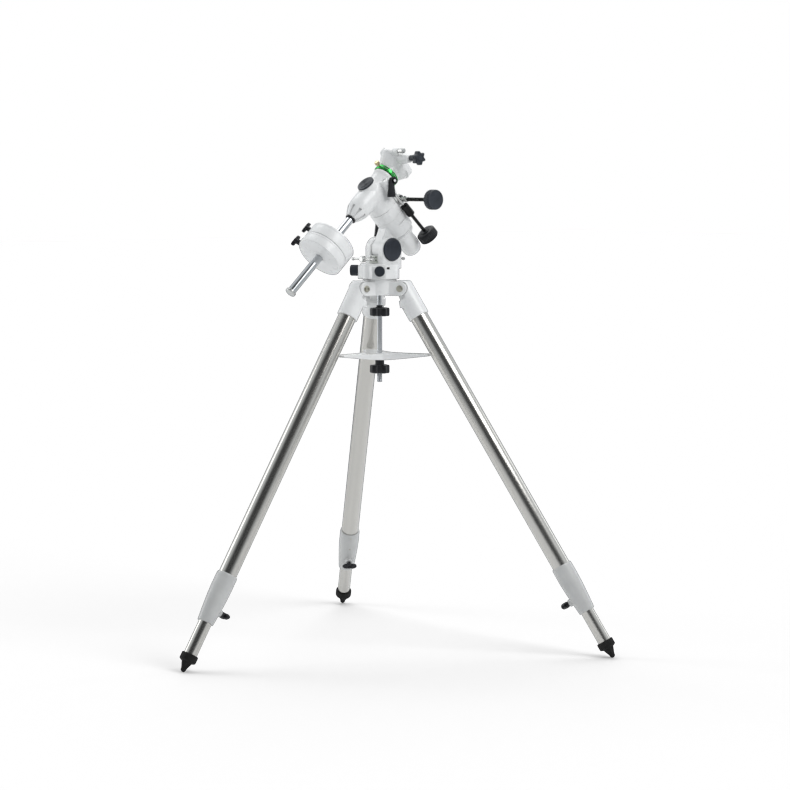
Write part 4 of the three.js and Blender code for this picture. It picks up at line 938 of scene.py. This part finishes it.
def dec_housing():
    barrel = lathe([
        (0, -93), (14, -93), (15.4, -91.5), (21, -82), (25.4, -72.5), (28.2, -61), (29.2, -48),
        (28.9, -32), (28, -8), (28, 34), (28.6, 44), (30.6, 49), (30.6, 55), (29.6, 56), (0, 56),
    ], "x", steps=144, ease=3)
    neck = lathe([
        (0, -49.4), (37.4, -49.4), (38.5, -48), (38.2, -40), (36, -30), (33, -20), (30, -8), (27, 4),
        (25, 16), (24, 22), (24, 27.8), (23.2, 28.6), (0, 28.6),
    ], steps=144, ease=1.5)
    to_worm = HEAD.inverted() @ dec_control_place()
    to_worm.translation = to_worm.translation / MM
    worm_box = moved(rod(10.2, -16, 16, steps=96, ease=1), to_worm)
    snout = moved(lathe([(0, 14), (9, 14), (9, 16), (7.2, 30), (0, 30)], ease=0.8), to_worm)
    x, y, _ = DEC_WORM
    solids = [barrel, neck, worm_box, snout, block(x - 10, x + 10, y, -20, -15.4, 15.4),
              rod(8, -44.6, -22, "y", DEC_LEVER, 64, 1)]
    along_cone = frame_at((-66.5, 0, 24.6), (0, 1, 0), (-0.924, 0, -0.382))
    flute = [(0, 0), (3.9, 0), (4.3, 1), (1.9, 31), (0, 31)]
    flutes = [spun(moved(lathe(flute, steps=32, ease=0), along_cone), 22.5 + 45 * i, "X") for i in range(8)]
    crisp = [
        hole(13.3, -58, 57, "x"),
        hole(26.2, x - 7, x + 7, "x"),
        hole(10.2, -94, -68, "x", steps=64),
        hole(16.2, -60, -33.5),
        hole(14.2, 19.4, 30),
        moved(hole(6, -18, 31, steps=64), to_worm.copy()),
        moved(hole(9.3, -11.6, 11.6, steps=64), to_worm.copy()),
        hole(4.1, -60, -16, "y", DEC_LEVER, 48),
    ]
    mesh = cast_mesh("declination_housing", solids, crisp_cuts=crisp + flutes, voxel=0.8, rounds=9)
    piece("declination_housing", mesh, HEAD, "dec_body", WHITE, ["dec_housing"])
    piece("polar_spigot", [ring(16.3, 30.4, -53.3, -45)], HEAD, "dec_body", STEEL)
    plug = prism(polar(lambda a: 7.5, 64), 0, 0.8, at=(-20, 0, 28.9), bevel=0.3)
    piece("housing_blank_plug", [plug], HEAD, "dec_body", COLLAR)


def dec_parts():
    piece("declination_shaft", [rod(13, -57, 80, "x", steps=96)], HEAD, "dec_axis", STEEL, ["dec_shaft"])
    at = DEC_WORM[0]
    wheel = [(13.2, -6.4), (25.6, -6.4), (24.8, 0), (25.6, 6.4), (13.2, 6.4), (13.2, -6.4)]
    teeth = ribbed(WORM_RATIO, 0.6, -5, 5)
    piece("declination_worm_wheel", [lathe(wheel, "x", (at, 0, 0), 2 * WORM_RATIO, 0.3, teeth)], HEAD,
          "dec_axis", BRASS, ["dec_worm_wheel"])
    circle = [(20.3, 57), (31.4, 57), (CIRCLE_RADIUS, 58.8), (CIRCLE_RADIUS, 66.4), (32.6, 67.3),
              (20.3, 67.3), (20.3, 57)]
    piece("declination_circle", [lathe(circle, "x", steps=192)], HEAD, "dec_circle", GREEN,
          ["dec_setting_circle"])
    marks = graduations(CIRCLE_RADIUS, 61.2, 60.0, 63.6, "x", 90, 5)
    piece("declination_circle_marks", marks, HEAD, "dec_circle", INK)
    # Thin dark ring between the declination housing and its setting circle: painted shadow, standing in for
    # the shade in that gap
    circle_shadow_ring = ring(13.4, 29.2, 55.4, 57.2, "x", ease=0.2)
    piece("circle_painted_shadow", [circle_shadow_ring], HEAD, "dec_body", SHADOW_GAP)
    screw = lathe([(0, 22), (2.1, 22), (2.1, 36.5), (4, 36.5), (4, 39), (6.2, 39.4), (6.2, 46.4), (5.4, 47),
                   (0, 47)], "z", (62.2, 0, 0), 96, 0.4, ribbed(24, 0.5, 40, 46))
    piece("circle_thumbscrew", [screw], HEAD, "circle_screw", BRASS, ["dec_circle_screw"])


def dec_control():
    place = dec_control_place()
    worm = lathe([(0, -15), (5.9, -15), (5.9, -11), (9, -11), (9, 11), (5.9, 11), (5.9, 31), (5.5, 33),
                  (4.3, 33), (4.3, 71), (0, 71)])
    piece("declination_worm", [worm], place, "dec_worm", STEEL, ["dec_worm_shaft"])
    sleeve = lathe([(0, 70.5), (8.6, 70.5), (10.2, 72.4), (10.2, 103.6), (8.6, 105.4), (4.3, 105.4),
                    (4.3, 174), (0, 174)], ease=0.7)
    piece("declination_control_rod", [sleeve], place, "dec_worm", BLACK_METAL)
    screw = spun(screw_at((0, -10, 98), "y", 2.4, 1.6, 1.2), 180)
    piece("declination_sleeve_screw", [screw], place, "dec_worm", ZINC)
    piece("declination_control_wheel", control_wheel(162), place, "dec_worm", BLACK, ["dec_control_knob"])


def round_plan(length, width, corner):
    """Plan of the saddle: a rectangle with round ends."""
    x, y = length / 2 - corner, width / 2 - corner
    outline = []
    for cx, cy, start in ((x, y, 0), (-x, y, 90), (-x, -y, 180), (x, -y, 270)):
        outline += arc((cx, cy), corner, start, start + 90, 10)
    return outline


def saddle():
    centre = Matrix.Translation((0, 0, SADDLE_OFFSET))
    lying = Matrix(((0, 0, 1, 0), (0, 1, 0, 0), (-1, 0, 0, 0), (0, 0, 0, 1)))
    plan = moved(prism(round_plan(98, 60, 27), 100, SADDLE_TOP, bevel=1.6), centre @ lying)
    flare = lathe([(0, 67.8), (29, 67.8), (34, 76), (40, 86), (45, 95), (48, 101), (0, 101)],
                  "x", steps=144, ease=4)
    flare.transform(centre @ Matrix.Diagonal((1, 0.66, 1, 1)))
    neck = lathe([(0, 57.4), (20, 57.4), (20, 67.8), (27, 67.8), (27, 80), (0, 80)], "x", steps=128,
                 ease=0.6)
    boss = lathe([(0, 20), (15, 20), (13.5, 44), (10.5, 62), (9.8, 66), (0, 66)], ease=1)
    boss.transform(Matrix.Translation((108, 0, CLAMP_PLACE[2])) @ TO_SIDE)
    small = rod(7.5, 20, 37, steps=64, ease=0.8)
    small.transform(Matrix.Translation((110, 0, SAFETY_PLACE[2])) @ TO_SIDE)
    groove = [(SADDLE_FLOOR, -23), (SADDLE_TOP + 6, -18.2), (SADDLE_TOP + 6, 18.2), (SADDLE_FLOOR, 23)]
    crisp = [
        prism(groove, -80, 80),
        hole(13.3, 50, 81, "x"),
        hole(4.3, -80, -10, "y", CLAMP_PLACE, 48),
        hole(2.9, -80, -10, "y", SAFETY_PLACE, 48),
    ]
    solids = [plan, flare, neck, boss, small]
    mesh = cast_mesh("saddle_casting", solids, crisp_cuts=crisp, voxel=0.8, rounds=9)
    piece("saddle_casting", mesh, HEAD, "dec_axis", WHITE, ["dovetail_saddle"])


def saddle_screws():
    place = HEAD @ Matrix.Translation(Vector(CLAMP_PLACE) * MM) @ TO_SIDE
    grip = prism(polar(lambda a: 15.2 + 2.6 * math.cos(6 * a)), 88, 104, bevel=2.2, segments=4)
    hub = lathe([(0, 66.4), (7.2, 66.4), (7.5, 68), (7.5, 84), (10.5, 89), (0, 89)], steps=64, ease=0.8)
    button = lathe([(0, 103.4), (8.4, 103.4), (8.4, 104), (7.6, 104), (7.0, 103.6), (0, 103.6)], steps=64,
                   ease=0.1)
    piece("saddle_star_knob", [grip, hub, button], place, "saddle_knob", BLUE_BLACK, ["saddle_clamp_knob"])
    piece("saddle_clamp_shank", [rod(4, 23, 67, steps=48)], place, "saddle_knob", STEEL)
    place = HEAD @ Matrix.Translation(Vector(SAFETY_PLACE) * MM) @ TO_SIDE
    screw = lathe([(0, 23), (2.6, 23), (2.6, 37.4), (5, 37.4), (5, 46), (6.6, 46.6), (6.6, 57), (6, 58),
                   (0, 58)], shape=ribbed(28, 0.45, 47.2, 56.6))
    piece("saddle_thumbscrew", [screw], place, "safety_screw", STEEL, ["saddle_safety_screw"])


# ---------- counterweights
def counterweights():
    lock = lathe([(10.3, -97.4), (12.6, -97.4), (13.8, -96.4), (13.8, -94.3), (13.2, -93.4), (10.3, -93.4),
                  (10.3, -97.4)], "x", shape=ribbed(30, 0.4, -96.4, -94.2))
    piece("bar_lock_nut", [lock], HEAD, "lock_ring", BLACK, ["bar_lock_ring"])
    bar = lathe([(0, -BAR_END), (9.4, -BAR_END), (BAR_RADIUS, -BAR_END + 0.8), (BAR_RADIUS, -70), (0, -70)],
                "x", steps=128, ease=0.3)
    piece("chromed_bar", [bar], HEAD, "dec_body", CHROME, ["counterweight_bar"])
    cap = lathe([(0, -BAR_END - 6.5), (11.4, -BAR_END - 6.5), (13, -BAR_END - 5.2), (13, -BAR_END - 1),
                 (12.4, -BAR_END - 0.3), (0, -BAR_END - 0.3)], "x", ease=0.5)
    piece("bar_stop_cap", [cap], HEAD, "end_cap", STEEL, ["bar_end_cap"])
    for number, (near, far, screw) in enumerate(WEIGHTS, 1):
        weight_and_screw(number, near, far, -screw)


def weight_and_screw(number, near, far, middle):
    disc = lathe([
        (10.4, -far), (15.5, -far), (16.2, -far + 0.7), (60, -far + 0.1), (WEIGHT_RADIUS, -far + 0.9),
        (WEIGHT_RADIUS, -near - 7), (60.6, -near - 6.6), (60.6, -near - 6.2), (WEIGHT_RADIUS, -near - 5.8),
        (WEIGHT_RADIUS, -near - 0.9), (60, -near - 0.1), (16.2, -near - 0.7), (15.5, -near), (10.4, -near),
        (10.4, -far),
    ], "x", steps=192, ease=0.7)
    way = spun(hole(4.4, 8, 70, "z", (middle, 0, 0), 48), -WEIGHT_SCREW_ANGLE, "X")
    piece(f"weight_disc_{number}", cut_mesh("disc", [disc], [way]), HEAD, f"weight_{number}", WHITE,
          [f"counterweight_{number}"])
    blade = prism(wings(15.5, 5, 0.62, 7), 72, 80, at=(middle, 0, 0), bevel=1.8, segments=4)
    hub = lathe([(0, 61.8), (5.2, 61.8), (6, 64), (6, 70), (5.4, 79.4), (0, 79.9)], "z", (middle, 0, 0), 48,
                0.8)
    shapes = [spun(shape, -WEIGHT_SCREW_ANGLE, "X") for shape in (blade, hub)]
    piece(f"weight_wing_{number}", shapes, HEAD, f"weight_knob_{number}", BLACK, [f"weight_screw_{number}"])
    shank = spun(rod(4, 11.5, 62.5, "z", (middle, 0, 0), 32), -WEIGHT_SCREW_ANGLE, "X")
    piece(f"weight_shank_{number}", [shank], HEAD, f"weight_knob_{number}", STEEL)


# ---------- studio
VIEW, RIGHT = Vector((0.6432, 0.7657, 0)), Vector((0.7657, -0.6432, 0))
CAMERA_PITCH = math.radians(5)


def studio_spot(right, back, up):
    """A place seen from the camera: to the right of the mount, behind it and above its middle."""
    return Vector((AXIS_X, 0, 0.65)) + right * RIGHT + back * VIEW + Vector((0, 0, up))


def studio():
    scene = bpy.context.scene
    scene.view_settings.view_transform = "Standard"
    bpy.ops.mesh.primitive_plane_add(size=60, location=(0, 0, -0.001))
    floor = bpy.context.object
    floor.name = "studio_floor"
    floor.data.materials.append(new_material("studio_floor", (0.9, 0.9, 0.9), 0.7))
    floor.is_shadow_catcher = True
    centre = studio_spot(0, 0, 0)
    for name, spot, size, power in (
        ("key", (2.3, -1.7, 2.7), (2.2, 2.2), 62),
        ("left_strip", (-3.0, 0.9, 0.5), (0.9, 3.2), 24),
        ("right_strip", (3.1, 1.7, 0.3), (0.7, 2.8), 9),
        ("top", (-0.4, 1.6, 3.2), (3.0, 2.0), 46),
    ):
        light = bpy.data.lights.new(name, "AREA")
        light.shape = "RECTANGLE"
        light.size, light.size_y = size
        light.energy = power
        lamp = bpy.data.objects.new(name, light)
        lamp.location = studio_spot(*spot)
        lamp.rotation_euler = (centre - lamp.location).to_track_quat("-Z", "Y").to_euler()
        bpy.context.collection.objects.link(lamp)
    world = bpy.data.worlds.new("studio")
    world.use_nodes = True
    scene.world = world
    nodes, links = world.node_tree.nodes, world.node_tree.links
    room = nodes["Background"]
    room.inputs["Color"].default_value = (0.93, 0.97, 1.0, 1)
    rays = nodes.new("ShaderNodeLightPath")
    where = nodes.new("ShaderNodeTexCoord")
    toward = nodes.new("ShaderNodeVectorMath")
    toward.operation = "DOT_PRODUCT"
    toward.inputs[1].default_value = (-0.545, -0.665, 0.51)
    shade_of_room = nodes.new("ShaderNodeMapRange")
    shade_of_room.inputs["From Min"].default_value = 0.50
    shade_of_room.inputs["From Max"].default_value = 0.90
    shade_of_room.inputs["To Min"].default_value = 0.80
    shade_of_room.inputs["To Max"].default_value = 0.07
    level = nodes.new("ShaderNodeMapRange")
    level.inputs["To Min"].default_value = 0.50
    links.new(where.outputs["Generated"], toward.inputs[0])
    links.new(toward.outputs["Value"], shade_of_room.inputs["Value"])
    links.new(shade_of_room.outputs["Result"], level.inputs["To Max"])
    links.new(rays.outputs["Is Glossy Ray"], level.inputs["Value"])
    links.new(level.outputs["Result"], room.inputs["Strength"])
    backdrop = nodes.new("ShaderNodeBackground")
    backdrop.inputs["Color"].default_value = (1, 1, 1, 1)
    choice = nodes.new("ShaderNodeMixShader")
    links.new(rays.outputs["Is Camera Ray"], choice.inputs["Fac"])
    links.new(room.outputs["Background"], choice.inputs[1])
    links.new(backdrop.outputs["Background"], choice.inputs[2])
    links.new(choice.outputs["Shader"], nodes["World Output"].inputs["Surface"])


def camera():
    data = bpy.data.cameras.new("camera")
    data.sensor_width = 36
    data.lens = 119.2
    obj = bpy.data.objects.new("camera", data)
    obj.location = (AXIS_X - 4.199, -5.059, 1.206)
    look = VIEW - Vector((0, 0, math.tan(CAMERA_PITCH)))
    obj.rotation_euler = look.to_track_quat("-Z", "Y").to_euler()
    bpy.context.collection.objects.link(obj)
    bpy.context.scene.camera = obj


camera()
studio()
tripod_head()
legs()
centre_parts()
tray()
azimuth_base()
azimuth_knobs()
altitude_caps()
latitude_bolts()
ra_housing()
polar_parts()
ra_control()
clutch_levers()
dec_housing()
dec_parts()
dec_control()
saddle()
saddle_screws()
counterweights()
